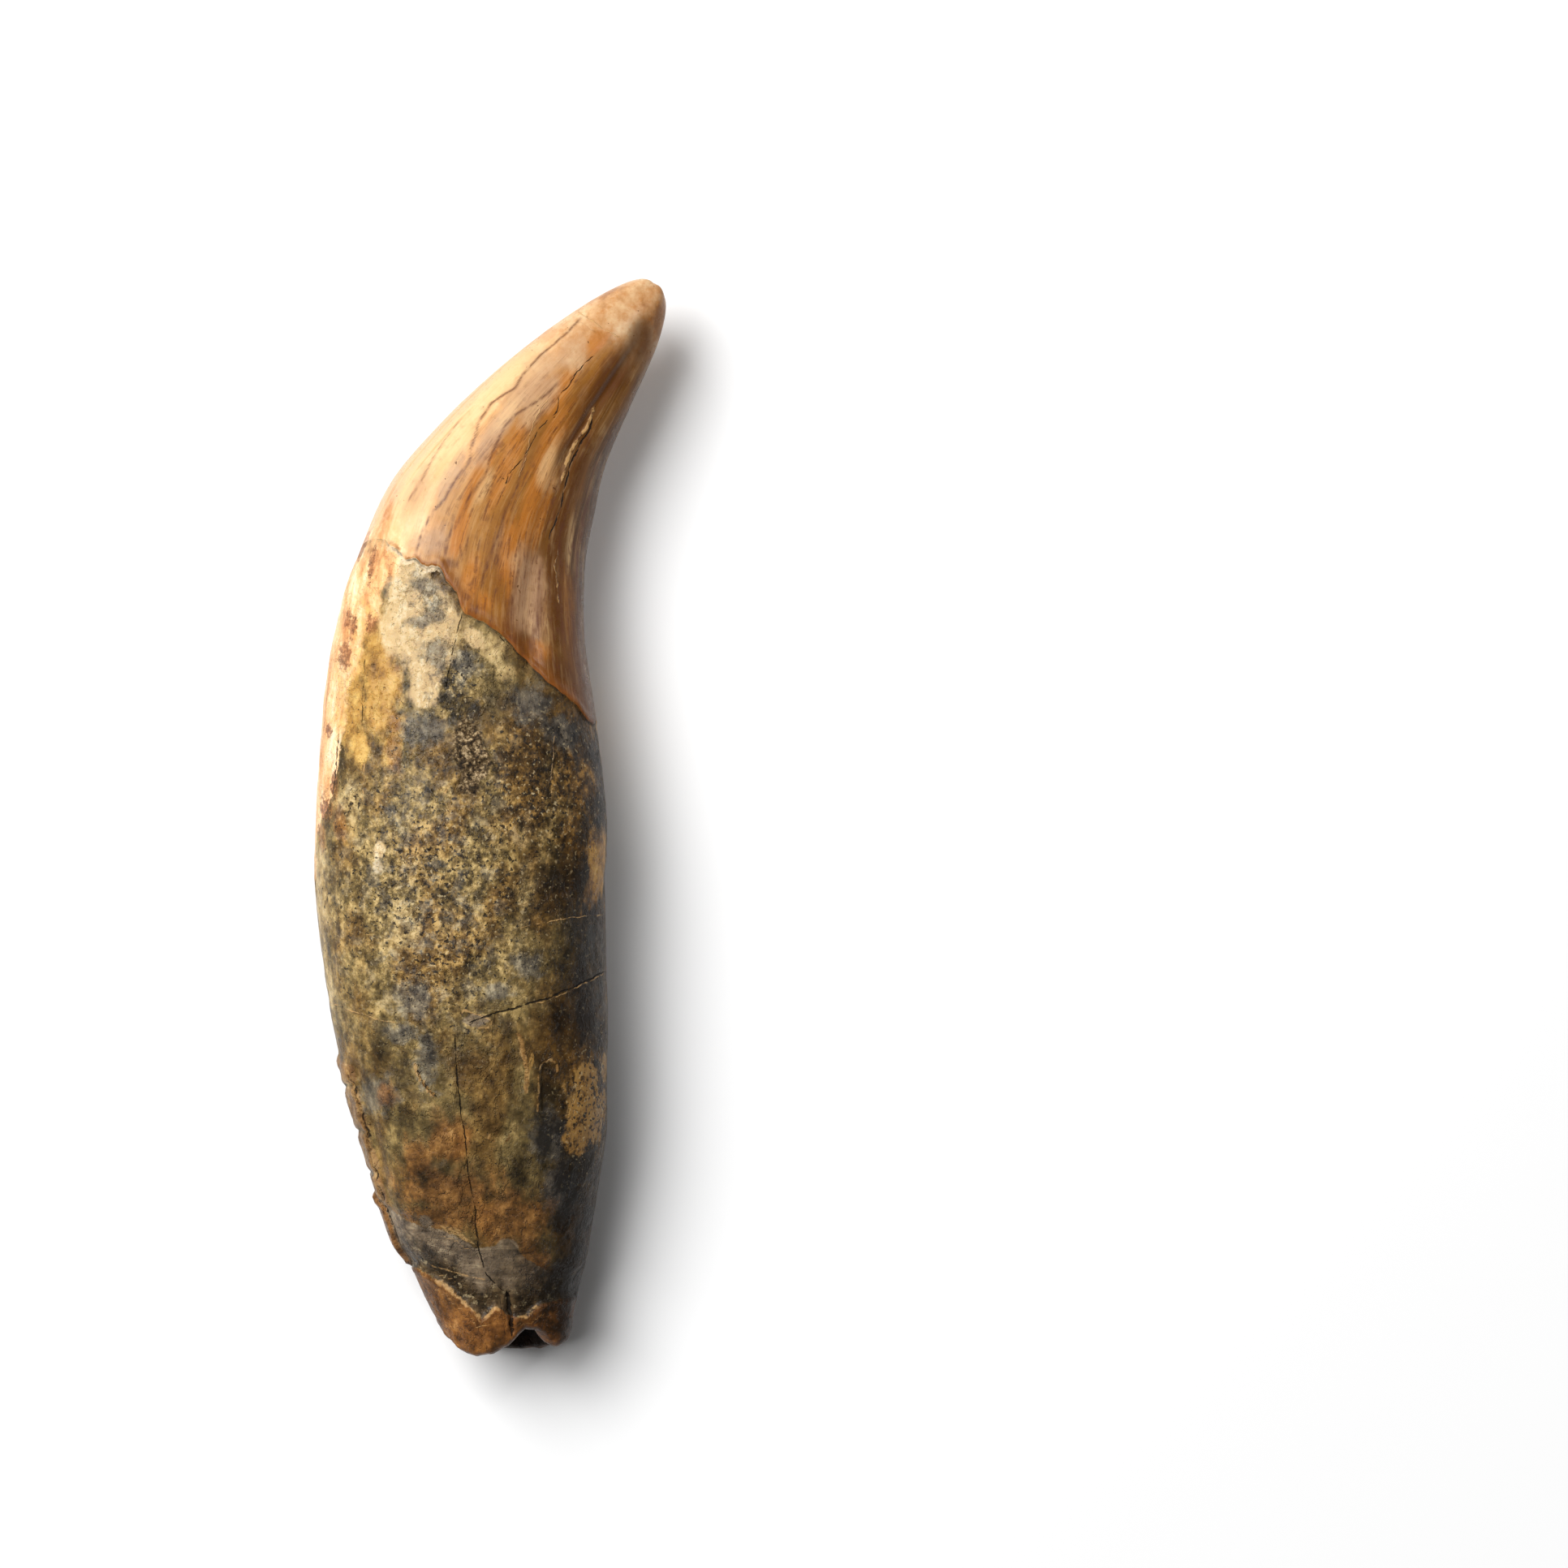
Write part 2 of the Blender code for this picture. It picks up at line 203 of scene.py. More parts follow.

# Broken edges that catch the light, as the lines above. Along them the finish paints a pale
# line, partly fresh pale material and partly a painted highlight.
EDGE_LINES = [
    ([(-5.1, -41.0), (-4.3, -41.6), (-3.3, -42.3), (-2.7, -42.8), (-2.2, -43.4), (-1.6, -43.8),
      (-1.1, -44.3), (-0.7, -44.8), (-0.3, -44.4), (0.1, -44.0), (0.5, -43.6),
      (1.1, -43.9)], 0.10, -0.05),
    ([(2.2, -44.6), (3.3, -44.6), (3.8, -44.2), (4.7, -43.5)], 0.08, -0.05),
    ([(-4.2, -36.5), (-3.5, -36.9), (-2.7, -37.0), (-1.9, -37.7), (-1.1, -38.2)], 0.14, 0.0),
    ([(-2.7, -17.9), (-1.9, -16.9), (-0.9, -17.3), (0.5, -17.9), (0.1, -18.6),
      (-1.0, -18.5)], 0.05, -0.05),
    ([(-3.1, 2.9), (-3.4, 2.4), (-3.9, 1.8)], 0.13, 0.0),
    ([(-6.0, -39.7), (-4.4, -40.3), (-2.2, -40.9), (0.0, -41.2)], 0.03, 0.0),
    ([(-4.6, -36.1), (-3.6, -36.5), (-2.8, -36.4)], 0.10, 0.0),
]

# Growth lines of the crown, dark and soft: points in x and y, half width, and strength.
GROWTH_LINES = [
    ([(8.2, 44.6), (7.1, 43.3), (5.0, 41.3), (3.7, 40.1), (3.0, 39.3), (2.3, 38.0), (0.3, 36.6),
      (-0.7, 34.9), (-1.4, 33.2), (-1.7, 31.6), (-2.5, 30.2), (-3.1, 29.2), (-3.7, 28.1),
      (-4.9, 26.9), (-5.7, 25.3), (-6.5, 23.1)], 0.11, 1.0),
    ([(-2.2, 35.6), (-3.7, 33.7), (-4.7, 32.2), (-5.6, 30.2), (-6.5, 28.7), (-7.5, 27.2)], 0.09, 0.7),
    ([(6.3, 38.8), (5.0, 37.4), (2.5, 35.6), (1.4, 34.5), (0.6, 32.7), (0.1, 31.5), (-0.3, 30.2),
      (-1.0, 29.3), (-1.6, 28.4), (-2.3, 26.6), (-3.3, 25.1), (-3.7, 24.0), (-3.8, 22.6)], 0.11, 1.0),
    ([(-1.6, 25.5), (-1.9, 24.0), (-2.5, 22.9), (-3.1, 21.9)], 0.10, 0.8),
    ([(3.6, 33.1), (3.3, 32.2), (2.9, 30.8), (2.5, 29.6), (2.1, 28.2), (1.5, 26.8), (1.1, 25.5),
      (0.6, 24.4), (0.1, 23.1), (-0.4, 20.7), (-0.6, 19.7)], 0.11, 1.0),
    ([(3.1, 24.8), (2.9, 23.2), (2.8, 21.9), (2.5, 20.7), (2.3, 19.5), (2.2, 18.2),
      (2.1, 16.8)], 0.10, 0.9),
    ([(4.8, 22.8), (4.6, 21.1), (4.6, 19.0), (4.5, 17.1), (4.3, 15.7)], 0.12, 1.0),
    ([(6.7, 26.6), (6.5, 24.8), (6.4, 23.4), (6.4, 21.9), (6.3, 20.4), (6.4, 19.0), (6.5, 16.7),
      (6.7, 15.0)], 0.11, 1.0),
    ([(5.5, 20.8), (5.4, 19.0), (5.6, 16.8), (5.9, 15.0)], 0.09, 0.8),
    ([(9.3, 29.5), (8.8, 27.8), (8.3, 25.6), (7.9, 23.4), (7.8, 21.1), (7.8, 19.0), (7.8, 16.0),
      (8.0, 13.5), (8.5, 11.3)], 0.10, 1.0),
    ([(7.1, 22.2), (7.0, 20.0), (7.2, 17.9), (7.5, 15.0), (7.8, 12.4)], 0.09, 0.8),
]

# Stains and patches, each as x, y, half width, half length and turn in degrees, which leans the
# patch towards +X on its way to +Y. A patch's edge is where its field is 0.5. The first tables are
# on the root, and those from UMBER to SMUDGE are on the crown.
CREAM = [
    (-7.8, 21.4, 1.4, 2.4, 10), (-6.0, 19.8, 2.2, 1.8, 20), (-7.4, 16.6, 2.0, 3.4, 0),
    (-4.2, 17.0, 1.7, 2.0, 30), (-5.4, 13.4, 1.9, 2.8, 0), (-5.6, 10.9, 1.5, 1.2, 0),
    (-1.2, 15.8, 1.0, 0.7, 45),
]
CREAM_SPOTS = [(-9.5, -2.9, 0.48, 0.58, 20), (-9.6, -4.4, 0.42, 0.45, 0)]
HONEY = [
    (-9.6, 13.6, 2.0, 4.6, -6), (-9.6, 9.6, 1.5, 2.6, 0), (-8.2, 6.8, 0.7, 2.0, 20),
    (-12.0, 10.0, 1.4, 3.4, 0), (-11.2, 6.2, 0.6, 1.4, 0), (9.8, -4.2, 1.0, 2.6, -8),
    (9.2, -6.4, 0.7, 1.8, 10),
]
SLATE = [
    (-8.9, 21.6, 0.35, 1.6, 5), (-5.4, 20.4, 0.9, 1.5, -45), (-4.6, 18.4, 0.8, 1.0, -20),
    (-5.6, 17.4, 1.5, 0.45, -12), (-4.6, 14.8, 1.0, 0.9, 0), (-4.2, 13.8, 0.7, 0.9, 0),
    (-1.9, 13.6, 1.2, 1.2, 0), (3.9, 9.9, 1.5, 1.7, -40), (6.4, 7.4, 1.1, 1.6, -30),
    (-5.9, 7.6, 1.6, 1.2, 0), (-6.4, -16.2, 1.7, 1.5, 0), (0.8, -15.4, 1.2, 0.8, 0),
    (-5.4, -21.5, 0.9, 2.2, 0), (-9.8, -24.6, 1.6, 1.4, 0), (5.4, -28.4, 1.6, 2.0, 0),
    (3.4, -13.0, 1.2, 1.0, 0), (-7.6, -19.0, 1.2, 0.9, 0), (6.4, -33.0, 1.4, 2.6, 0),
]
SPECKLED = [
    (-3.4, 12.0, 3.0, 3.6, 0), (-4.5, -6.0, 9.0, 11.0, 0), (4.0, 2.0, 6.0, 6.0, 0),
    (-4.0, -12.0, 5.0, 6.0, 0), (9.5, -25.0, 2.6, 5.5, 0), (-5.4, 18.8, 1.8, 2.6, -30),
    (-9.6, -4.4, 1.6, 3.0, 0), (-12.0, 1.0, 1.4, 2.0, 0),
]
PALE_SPECKS = [
    (-5.0, -4.0, 6.0, 8.0, 0), (-2.0, -11.0, 5.0, 5.5, 0), (1.5, -1.0, 4.0, 4.5, 0),
    (-9.5, -12.0, 3.0, 6.0, 0), (8.5, 1.5, 2.0, 3.0, 0), (-9.4, -4.4, 1.1, 1.3, 0),
    (-9.1, -2.9, 0.8, 0.8, 0), (-0.5, -13.8, 1.8, 1.4, 0),
]
RUST = [
    (-12.1, 17.1, 0.45, 0.9, 0), (-10.3, 17.1, 0.45, 0.9, 0), (-12.7, 14.3, 0.5, 1.2, 0),
    (-14.1, 7.7, 0.3, 0.6, 0), (-10.3, 22.3, 0.2, 1.4, 8), (-8.0, 13.2, 0.35, 0.4, 0),
    (-8.3, 8.4, 0.5, 1.0, 0), (-8.2, 5.6, 0.5, 1.6, -10), (-13.6, 3.0, 0.3, 1.2, 0),
    (-14.4, 0.6, 0.6, 1.2, 0), (-14.9, -1.6, 0.4, 1.0, 0), (-13.2, -0.6, 0.5, 1.2, 0),
    (-3.6, -33.2, 4.0, 2.2, 0), (-4.6, -35.2, 3.2, 1.4, 0), (1.8, -35.6, 3.2, 2.0, 0),
    (-6.2, -30.4, 1.3, 1.8, 15), (-1.5, -45.6, 3.6, 1.8, -12), (3.6, -38.6, 1.2, 2.0, 0),
    (-8.8, -24.6, 0.8, 1.0, 0), (-3.6, -28.6, 1.6, 2.2, 0), (2.6, -45.6, 1.4, 0.8, 0),
    (-11.4, 24.0, 0.3, 1.6, 25), (3.9, -40.2, 1.0, 1.2, 0),
]
TAN = [
    (8.7, -23.6, 0.9, 1.6, 12), (8.8, -26.4, 1.8, 2.4, 0), (10.4, -22.4, 0.3, 1.2, 0),
    (8.0, -28.8, 1.3, 1.2, 0), (3.9, -21.4, 0.2, 0.7, 10),
]
DARK = [
    (8.4, -12.5, 1.4, 6.0, 0), (5.9, -5.6, 1.0, 1.7, 0), (9.2, 0.3, 0.8, 1.8, 0),
    (6.4, -18.0, 0.6, 1.4, 0), (7.4, -33.0, 2.0, 5.0, 0), (7.0, -40.0, 1.6, 4.6, 10),
    (-5.2, -31.6, 1.1, 0.8, 0), (-7.4, -27.0, 0.5, 0.9, 0), (5.4, -28.0, 1.6, 2.6, 0),
    (5.2, -23.6, 0.6, 1.7, 0), (-1.7, 9.7, 1.6, 1.0, 0), (9.0, 5.6, 0.6, 1.6, -30),
    (-9.4, -20.0, 0.6, 1.6, 0), (6.3, -44.4, 0.8, 2.0, 0), (2.6, -32.0, 0.8, 1.6, 0),
]
KHAKI = [
    (0.4, 15.0, 1.0, 1.0, 45), (-2.6, 16.4, 1.0, 1.4, 0), (1.6, 12.8, 0.6, 0.7, 45),
    (-15.4, -6.0, 0.7, 7.0, 0), (-14.6, -14.0, 0.4, 3.0, -10), (-12.0, 1.6, 0.9, 1.6, 0),
    (-6.9, -9.4, 1.0, 1.6, 0),
]
GREY = [
    (-4.4, -38.9, 0.9, 2.8, -76), (1.8, -38.5, 1.0, 0.9, 0), (-5.6, -35.8, 0.7, 0.7, 0),
    (-1.0, -17.8, 1.2, 0.5, 0),
]
GRIT_ROUGHNESS, GRIT_HEIGHT = 0.55, 0.08
GRIT = [
    (-1.8, 6.6, 1.3, 1.8, 0), (-1.0, 4.6, 1.5, 1.5, 0), (-1.6, 2.8, 1.1, 0.9, 0),
]
UMBER = [
    (9.4, 37.6, 0.5, 4.0, 24), (7.6, 30.6, 0.8, 4.6, 16), (6.2, 24.0, 0.7, 5.0, 6),
    (5.9, 18.6, 0.5, 3.4, -3), (3.0, 15.4, 0.9, 1.8, -50), (6.6, 12.0, 1.5, 3.0, -42),
    (8.3, 12.6, 1.2, 4.0, -6), (5.9, 21.0, 0.5, 1.6, 0), (-3.5, 22.4, 0.7, 0.5, 0),
    (8.6, 9.6, 1.6, 2.2, -30),
]
AMBER = [
    (5.4, 33.6, 0.8, 4.6, 24), (4.2, 28.0, 1.1, 4.4, 14), (-1.0, 30.0, 0.6, 4.0, 26),
    (1.6, 30.6, 0.8, 4.0, 22), (-1.6, 20.6, 0.9, 2.4, 8), (1.8, 23.4, 0.8, 3.4, 8),
    (-0.2, 18.8, 0.9, 1.2, 0), (-9.2, 26.0, 0.5, 2.6, 14), (6.2, 37.0, 0.8, 2.6, 30),
    (-2.6, 25.0, 0.8, 2.2, 14), (4.4, 14.6, 0.9, 1.2, -40), (9.6, 42.4, 0.9, 1.2, 30),
]
MAUVE = [
    (3.6, 20.0, 1.4, 3.8, 4), (-5.0, 24.4, 1.5, 1.1, -20), (-6.4, 28.4, 1.0, 2.6, 22),
    (0.6, 34.0, 0.8, 4.0, 32), (3.6, 38.6, 1.0, 3.6, 40), (-3.0, 30.6, 0.6, 2.4, 28),
    (7.4, 41.6, 1.2, 2.0, 40), (4.6, 37.0, 0.8, 2.6, 36),
]
MILKY = [
    (-3.5, 30.8, 0.8, 1.8, 28), (-0.4, 29.0, 0.5, 1.4, 22), (7.3, 24.4, 0.25, 2.6, 6),
    (8.4, 19.4, 0.25, 4.0, -2), (2.6, 39.8, 0.9, 2.6, 42), (-6.2, 27.4, 0.8, 1.8, 25),
    (5.2, 31.0, 0.6, 1.6, 20), (1.6, 35.4, 0.6, 1.8, 35),
]
SMUDGE = [
    (13.4, 42.6, 0.9, 1.8, 14), (11.4, 39.6, 0.8, 2.6, 26),
]

# How much the upper side's patches are stretched and moved, in x and y, on the underside.
UNDER_SHRINK, UNDER_MOVE = (0.9, 0.94), (4.0, 2.0)

# Steps where a flake has come off: the line of the edge in x and y, with the height of the step
# and how far the lower part reaches. It is lower on the line's left, or on its right where the
# height is negative.
FLAKES = [
    ([(-12.4, -21.6), (-11.9, -23.4), (-11.3, -25.4), (-10.8, -27.3), (-10.4, -29.0),
      (-9.9, -31.4), (-9.3, -34.2)], 0.24, 1.3),
    ([(2.5, -18.7), (2.9, -19.9), (3.2, -21.1), (3.4, -22.1), (3.4, -23.5), (3.2, -24.5)], -0.40, 2.0),
    ([(-6.3, -21.4), (-6.0, -22.6), (-5.3, -23.9), (-4.2, -24.8)], 0.30, 1.4),
    ([(-0.1, -27.0), (0.1, -28.1), (0.7, -28.6), (1.4, -28.7), (1.9, -28.2), (2.0, -27.3)], 0.16, 1.0),
    ([(4.4, -26.4), (4.6, -25.0), (4.65, -23.6), (4.6, -22.4), (4.9, -21.6), (5.5, -21.4),
      (6.1, -21.8), (6.0, -22.8)], -0.24, 1.2),
]

# Pits as x, y, radius and depth. A negative depth is a lump.
PITS = [
    (-4.0, -30.1, 0.35, 0.16), (-7.8, -29.4, 0.45, 0.16), (-7.9, -30.6, 0.35, 0.12),
    (6.9, -5.6, 0.5, 0.12), (6.2, -4.4, 0.3, 0.10), (7.4, -6.8, 0.35, 0.10),
    (1.3, -27.8, 0.35, 0.10), (-8.5, 8.1, 0.5, 0.10), (-5.4, -19.7, 0.4, 0.08),
    (-2.0, -23.9, 0.5, -0.12), (-9.3, -22.6, 0.3, 0.12), (3.4, -1.0, 0.4, 0.08),
    (-11.7, 12.6, 0.6, -0.10), (-10.2, 15.2, 0.5, -0.08), (-1.5, -33.2, 0.4, 0.06),
    (4.0, -33.8, 0.4, 0.08),
]

# The crust of cementum on the convex edge of the lower root, with the furrows across it, and the
# splinter that has lifted off that edge: its middle and its reach, in degrees round the tooth and
# in y, the stretch of bare surface beside it, and the gap under it: its depth, its angles with
# their fading width, and the angles over which the painted shadow in it fades.
CRUST_FROM_ANGLE, CRUST_TO_ANGLE = 150.0, 206.0
CRUST_FROM_Y, CRUST_TO_Y = -34.4, -22.0
FURROWS = (-23.9, -27.9, -31.3)
SPLINTER_ANGLE, SPLINTER_SPREAD = 177.0, 12.0
SPLINTER_Y, SPLINTER_REACH = -36.8, 3.5
BARE_FROM_ANGLE, BARE_TO_ANGLE = 142.0, 178.0
BARE_FADE_IN, BARE_FADE_OUT = 8.0, 6.0
GAP_DEPTH, GAP_ANGLES = 0.4, (140, 174, 6)
GAP_FADE_FROM, GAP_FADE_TO = 166, 178

# Broad waves round the tooth: their height, how many go round, their twist along it and their
# start.
SWELLS = ((0.16, 2, 0.11, 0.0), (0.10, 3, -0.17, 1.3), (0.07, 5, 0.31, 0.4))

# The groove beside the crown's ridge: its depth, its middle and spread across the tooth, and its
# ends and fading length along y.
GROOVE_DEPTH, GROOVE_ACROSS, GROOVE_ALONG = 0.28, (0.56, 0.14), (13.0, 38.0, 6.0)

# The belt near the root's end where the outer layer has peeled off: the widths of its steps, the
# lip beside it, and its edges as x and y.
PEEL_SHARP, PEEL_SOFT, PEEL_LIP = 0.22, 1.2, 0.10
PEEL_CROWNWARD = np.array([
    (-9.5, -34.6), (-7.0, -36.0), (-4.0, -36.8), (-1.0, -38.4), (0.4, -38.3), (1.8, -37.4),
    (3.1, -39.2), (5.0, -40.4), (9.0, -41.5),
])
PEEL_ENDWARD = np.array([
    (-6.5, -40.2), (-5.1, -41.0), (-4.3, -41.6), (-3.3, -42.3), (-2.7, -42.8), (-2.2, -43.4),
    (-1.6, -43.8), (-1.1, -44.3), (-0.7, -44.8), (-0.3, -44.4), (0.1, -44.0), (0.5, -43.6),
    (1.1, -43.9), (1.5, -44.4), (2.1, -44.6), (3.3, -44.6), (3.8, -44.2), (4.7, -43.5),
    (9.0, -42.5),
])

# Colours, as seen on a screen under white light. A ramp lists places along a mottle of about
# 0.3 to 0.7 with the colour there, and CROWN_ACROSS runs from the convex to the concave edge.
# Its darkening towards the concave edge is partly the enamel's colour and partly painted shade,
# and its lighter stop at 0.90 is a painted reflection on the concave side.
CROWN_ACROSS = [
    (0.0, (232, 180, 138)), (0.12, (238, 194, 144)), (0.22, (214, 162, 108)),
    (0.34, (188, 138, 84)), (0.44, (170, 120, 64)), (0.58, (144, 94, 38)), (0.72, (110, 66, 26)),
    (0.82, (96, 62, 26)), (0.90, (118, 78, 34)), (0.96, (104, 68, 30)), (1.0, (66, 40, 16)),
]
WORN_TIP = [
    (0.32, (146, 98, 56)), (0.44, (182, 136, 92)), (0.54, (200, 162, 120)),
    (0.66, (214, 184, 144)),
]
HONEY_BAND, MAUVE_BAND, UMBER_BAND = (178, 110, 42), (176, 138, 104), (84, 48, 18)
PALE_BAND, DARK_STREAK, GROWTH_LINE = (222, 182, 130), (112, 68, 32), (94, 54, 36)
MANGANESE_AND_SHADOW, PALE_FLECK, CRUMBS = (32, 26, 20), (208, 186, 142), (226, 204, 168)
EDGE_BROWN = (120, 68, 22)
RIM_STAIN, MINERAL_AND_EDGE_HIGHLIGHT, CRACK_AND_SHADOW = (130, 74, 30), (200, 158, 102), (16, 10, 6)
ZONES = {
    "olive": [(0.30, (40, 32, 18)), (0.42, (78, 64, 38)), (0.52, (108, 90, 54)), (0.62, (152, 128, 80)),
              (0.74, (200, 172, 116))],
    "brown": [(0.30, (38, 25, 11)), (0.44, (80, 56, 26)), (0.54, (112, 82, 40)), (0.66, (154, 118, 62)),
              (0.76, (190, 152, 90))],
    "honey": [(0.24, (74, 50, 24)), (0.36, (140, 98, 46)), (0.48, (194, 144, 70)),
              (0.66, (226, 184, 104))],
    "cream": [(0.20, (112, 98, 78)), (0.32, (168, 144, 110)), (0.42, (194, 164, 120)),
              (0.54, (204, 174, 124)), (0.68, (222, 202, 164))],
    "slate": [(0.30, (38, 36, 34)), (0.44, (74, 70, 64)), (0.56, (106, 100, 88)),
              (0.70, (158, 150, 130))],
    "rust": [(0.30, (40, 25, 12)), (0.43, (82, 50, 23)), (0.52, (116, 73, 34)), (0.62, (150, 99, 48)),
             (0.74, (192, 142, 86))],
    "grey": [(0.30, (60, 50, 40)), (0.45, (100, 86, 70)), (0.58, (132, 114, 92)),
             (0.72, (170, 152, 124))],
    "belt": [(0.30, (30, 24, 17)), (0.44, (66, 52, 36)), (0.56, (98, 80, 56)), (0.70, (150, 126, 92))],
    # The shade ramp is partly the concave side's darker brown and partly painted shade.
    "shade": [(0.30, (24, 15, 6)), (0.46, (54, 36, 14)), (0.58, (90, 62, 26)), (0.72, (146, 106, 50))],
    "khaki": [(0.28, (70, 56, 34)), (0.42, (136, 112, 72)), (0.54, (184, 156, 104)),
              (0.66, (214, 188, 136))],
    "tan": [(0.20, (30, 23, 14)), (0.28, (92, 66, 34)), (0.34, (146, 108, 56)), (0.66, (168, 130, 72))],
    "cementum": [(0.34, (204, 142, 90)), (0.46, (236, 182, 124)), (0.56, (250, 208, 156)),
                 (0.66, (255, 228, 190))],
    "spot": [(0.34, (84, 48, 28)), (0.50, (140, 84, 50)), (0.66, (196, 136, 88))],
    "crust": [(0.34, (84, 56, 34)), (0.46, (132, 94, 60)), (0.58, (164, 124, 84)),
              (0.70, (196, 158, 116))],
    # The broken faces of the flakes: partly paler bare cementum, partly painted highlight.
    "pale_lit_face": [(0.36, (96, 66, 34)), (0.50, (150, 112, 64)), (0.64, (192, 156, 104))],
    "plate": [(0.36, (74, 46, 22)), (0.60, (148, 104, 58))],
    "grit": [(0.38, (20, 14, 8)), (0.46, (62, 47, 30)), (0.54, (108, 88, 60)), (0.63, (184, 160, 124))],
    "canal": [(0.34, (16, 10, 6)), (0.60, (48, 33, 20))],
}

# The height of the finest relief, how deep red, green and blue light sink in as shares of a
# depth, both in millimetres, and the surface's index of refraction.
BUMP_HEIGHT = 0.22
SINK_SHARES, SINK_DEPTH = (1.0, 0.5, 0.25), 1.2
REFRACTION = 1.5

# Numbers of rings on each stretch, and of points round the tooth, which UPPER_DENSITY draws
# together on the upper side.
CAP_RINGS = 14
CROWN_RINGS = 150
ROOT_RINGS = 250
RIM_RINGS = 12
CANAL_RINGS = 14
ROUND_POINTS = 224
UPPER_DENSITY = 0.3

LATTICE = np.random.default_rng(11).uniform(-1.0, 1.0, (32, 32, 32))

# The stage, in metres: the place under the middle of the picture, the floor, and for the key light
# and the small spot beside the crown the place that each shines at, the direction that it hangs in
# and how far off. The sensor's width is in millimetres.
VIEW_MIDDLE = (0.02617, 0.00294)
NEAREST = 0.01
FLOOR_HALF, FLOOR_ROUGHNESS, FLOOR_SHINE = 2.0, 0.9, 0.1
KEY_MIDDLE, KEY_TOWARDS, KEY_DISTANCE = (0.0, 0.0, 0.008), (-0.50, 0.42, 1.0), 2.0
FILL_MIDDLE, FILL_TOWARDS, FILL_DISTANCE = (0.020, 0.040, 0.0), (0.60, 0.55, 1.0), 0.4
FILL_ANGLE, FILL_RADIUS = 16.0, 0.06
SENSOR_WIDTH = 36.0


def srgb(red, green, blue):
    """A colour as seen on a screen, from 0 to 255, turned into linear light."""
    share = np.array([red, green, blue]) / 255
    linear = np.where(share <= 0.04045, share / 12.92, ((share + 0.055) / 1.055) ** 2.4)
    return tuple(float(value) for value in linear)


def smooth_step(value, low, high):
    """0 up to low, 1 from high, and the cubic 3t^2 - 2t^3 between them."""
    share = np.clip((value - low) / (high - low), 0.0, 1.0)
    return share * share * (3.0 - 2.0 * share)


def between(value, low, high, soft):
    """1 from low to high, with a soft rise and fall outside them."""
    return smooth_step(value, low - soft, low) * (1.0 - smooth_step(value, high, high + soft))


def hump(value, middle, spread):
    """1 at the middle, falling smoothly to 0 at spread on either side."""
    return 1.0 - smooth_step(np.abs(value - middle), 0.0, spread)


def noise(points, size, seed):
    """Value noise from -1 to 1: random values on a lattice, blended by the smooth step between
    the eight lattice points round each place."""
    place = points / size + seed * 5.37
    cell = np.floor(place).astype(int)
    share = place - cell
    share = share * share * (3.0 - 2.0 * share)
    total = np.zeros(points.shape[:-1])
    for corner in itertools.product((0, 1), repeat=3):
        weight = np.prod(np.where(np.array(corner) == 1, share, 1.0 - share), axis=-1)
        at = (cell + corner) % len(LATTICE)
        total += weight * LATTICE[at[..., 0], at[..., 1], at[..., 2]]
    return total


def rough(points, size, seed, layers=3):
    """Noise in layers, each of half the size and half the height of the one before."""
    return sum(noise(points, size / 2**i, seed + i) / 2**i for i in range(layers))


def along_line(x, y, line):
    """Distance from an open line of points, positive on its left, and how far along it."""
    start, step = line[:-1], np.diff(line, axis=0)
    length = np.hypot(step[:, 0], step[:, 1])
    from_x, from_y = x[..., None] - start[:, 0], y[..., None] - start[:, 1]
    share = np.clip((from_x * step[:, 0] + from_y * step[:, 1]) / length**2, 0.0, 1.0)
    distance = np.hypot(from_x - share * step[:, 0], from_y - share * step[:, 1])
    nearest = np.argmin(distance, axis=-1)[..., None]
    side = np.sign(step[:, 0] * from_y - step[:, 1] * from_x)
    run = np.concatenate([[0.0], np.cumsum(length)[:-1]]) + share * length
    picked = [np.take_along_axis(item, nearest, -1)[..., 0] for item in (distance * side, run)]
    return picked[0], picked[1], length.sum()


def section_at(place):
    """The table's columns at places along it, by a Catmull-Rom curve through its rows. The row
    before the tip is the next one with its edges exchanged and its thickness negative, so that
    the curves run through the tip and close it in a round cap."""
    before = SECTIONS[1, [2, 3, 0, 1, 4, 5]] * (1, 1, 1, 1, -1, 1)
    rows = np.vstack([before, SECTIONS, 2 * SECTIONS[-1] - SECTIONS[-2]])
    first = np.clip(np.floor(place).astype(int), 0, LAST - 1)
    share = (place - first)[..., None]
    a, b, c, d = (rows[first + step] for step in range(4))
    return 0.5 * (
        2 * b
        + (c - a) * share
        + (2 * a - 5 * b + 4 * c - d) * share**2
        + (3 * b - a - 3 * c + d) * share**3
    )


def oval(angle, centre_y):
    """The place across and over a section's oval at an angle: the powers of its cosine and sine
    that make it a little square, thicker towards the convex edge."""
    crown = smooth_step(centre_y, NECK_Y - NECK_LENGTH / 2, NECK_Y + NECK_LENGTH / 2)
    power = 2 / (ROOT_SQUARENESS + (CROWN_SQUARENESS - ROOT_SQUARENESS) * crown)
    egg = ROOT_EGG + (CROWN_EGG - ROOT_EGG) * crown
    cosine, sine = np.cos(np.radians(angle)), np.sin(np.radians(angle))
    across = np.sign(cosine) * np.abs(cosine) ** power
    return across, np.sign(sine) * np.abs(sine) ** power * (1 - egg * across)


def skin_point(place, angle):
    """The smooth skin's point at a place along the tooth and an angle round it: the middle of
    the section, plus its half width and half thickness along the oval."""
    columns = section_at(place)
    centre = (columns[..., 0:2] + columns[..., 2:4]) / 2
    side = (columns[..., 2:4] - columns[..., 0:2]) / 2
    thick, low = columns[..., 4], columns[..., 5]
    across, over = oval(angle, centre[..., 1])
    plan = centre + side * across[..., None]
    return np.concatenate([plan, (low + thick + thick * over)[..., None]], axis=-1)


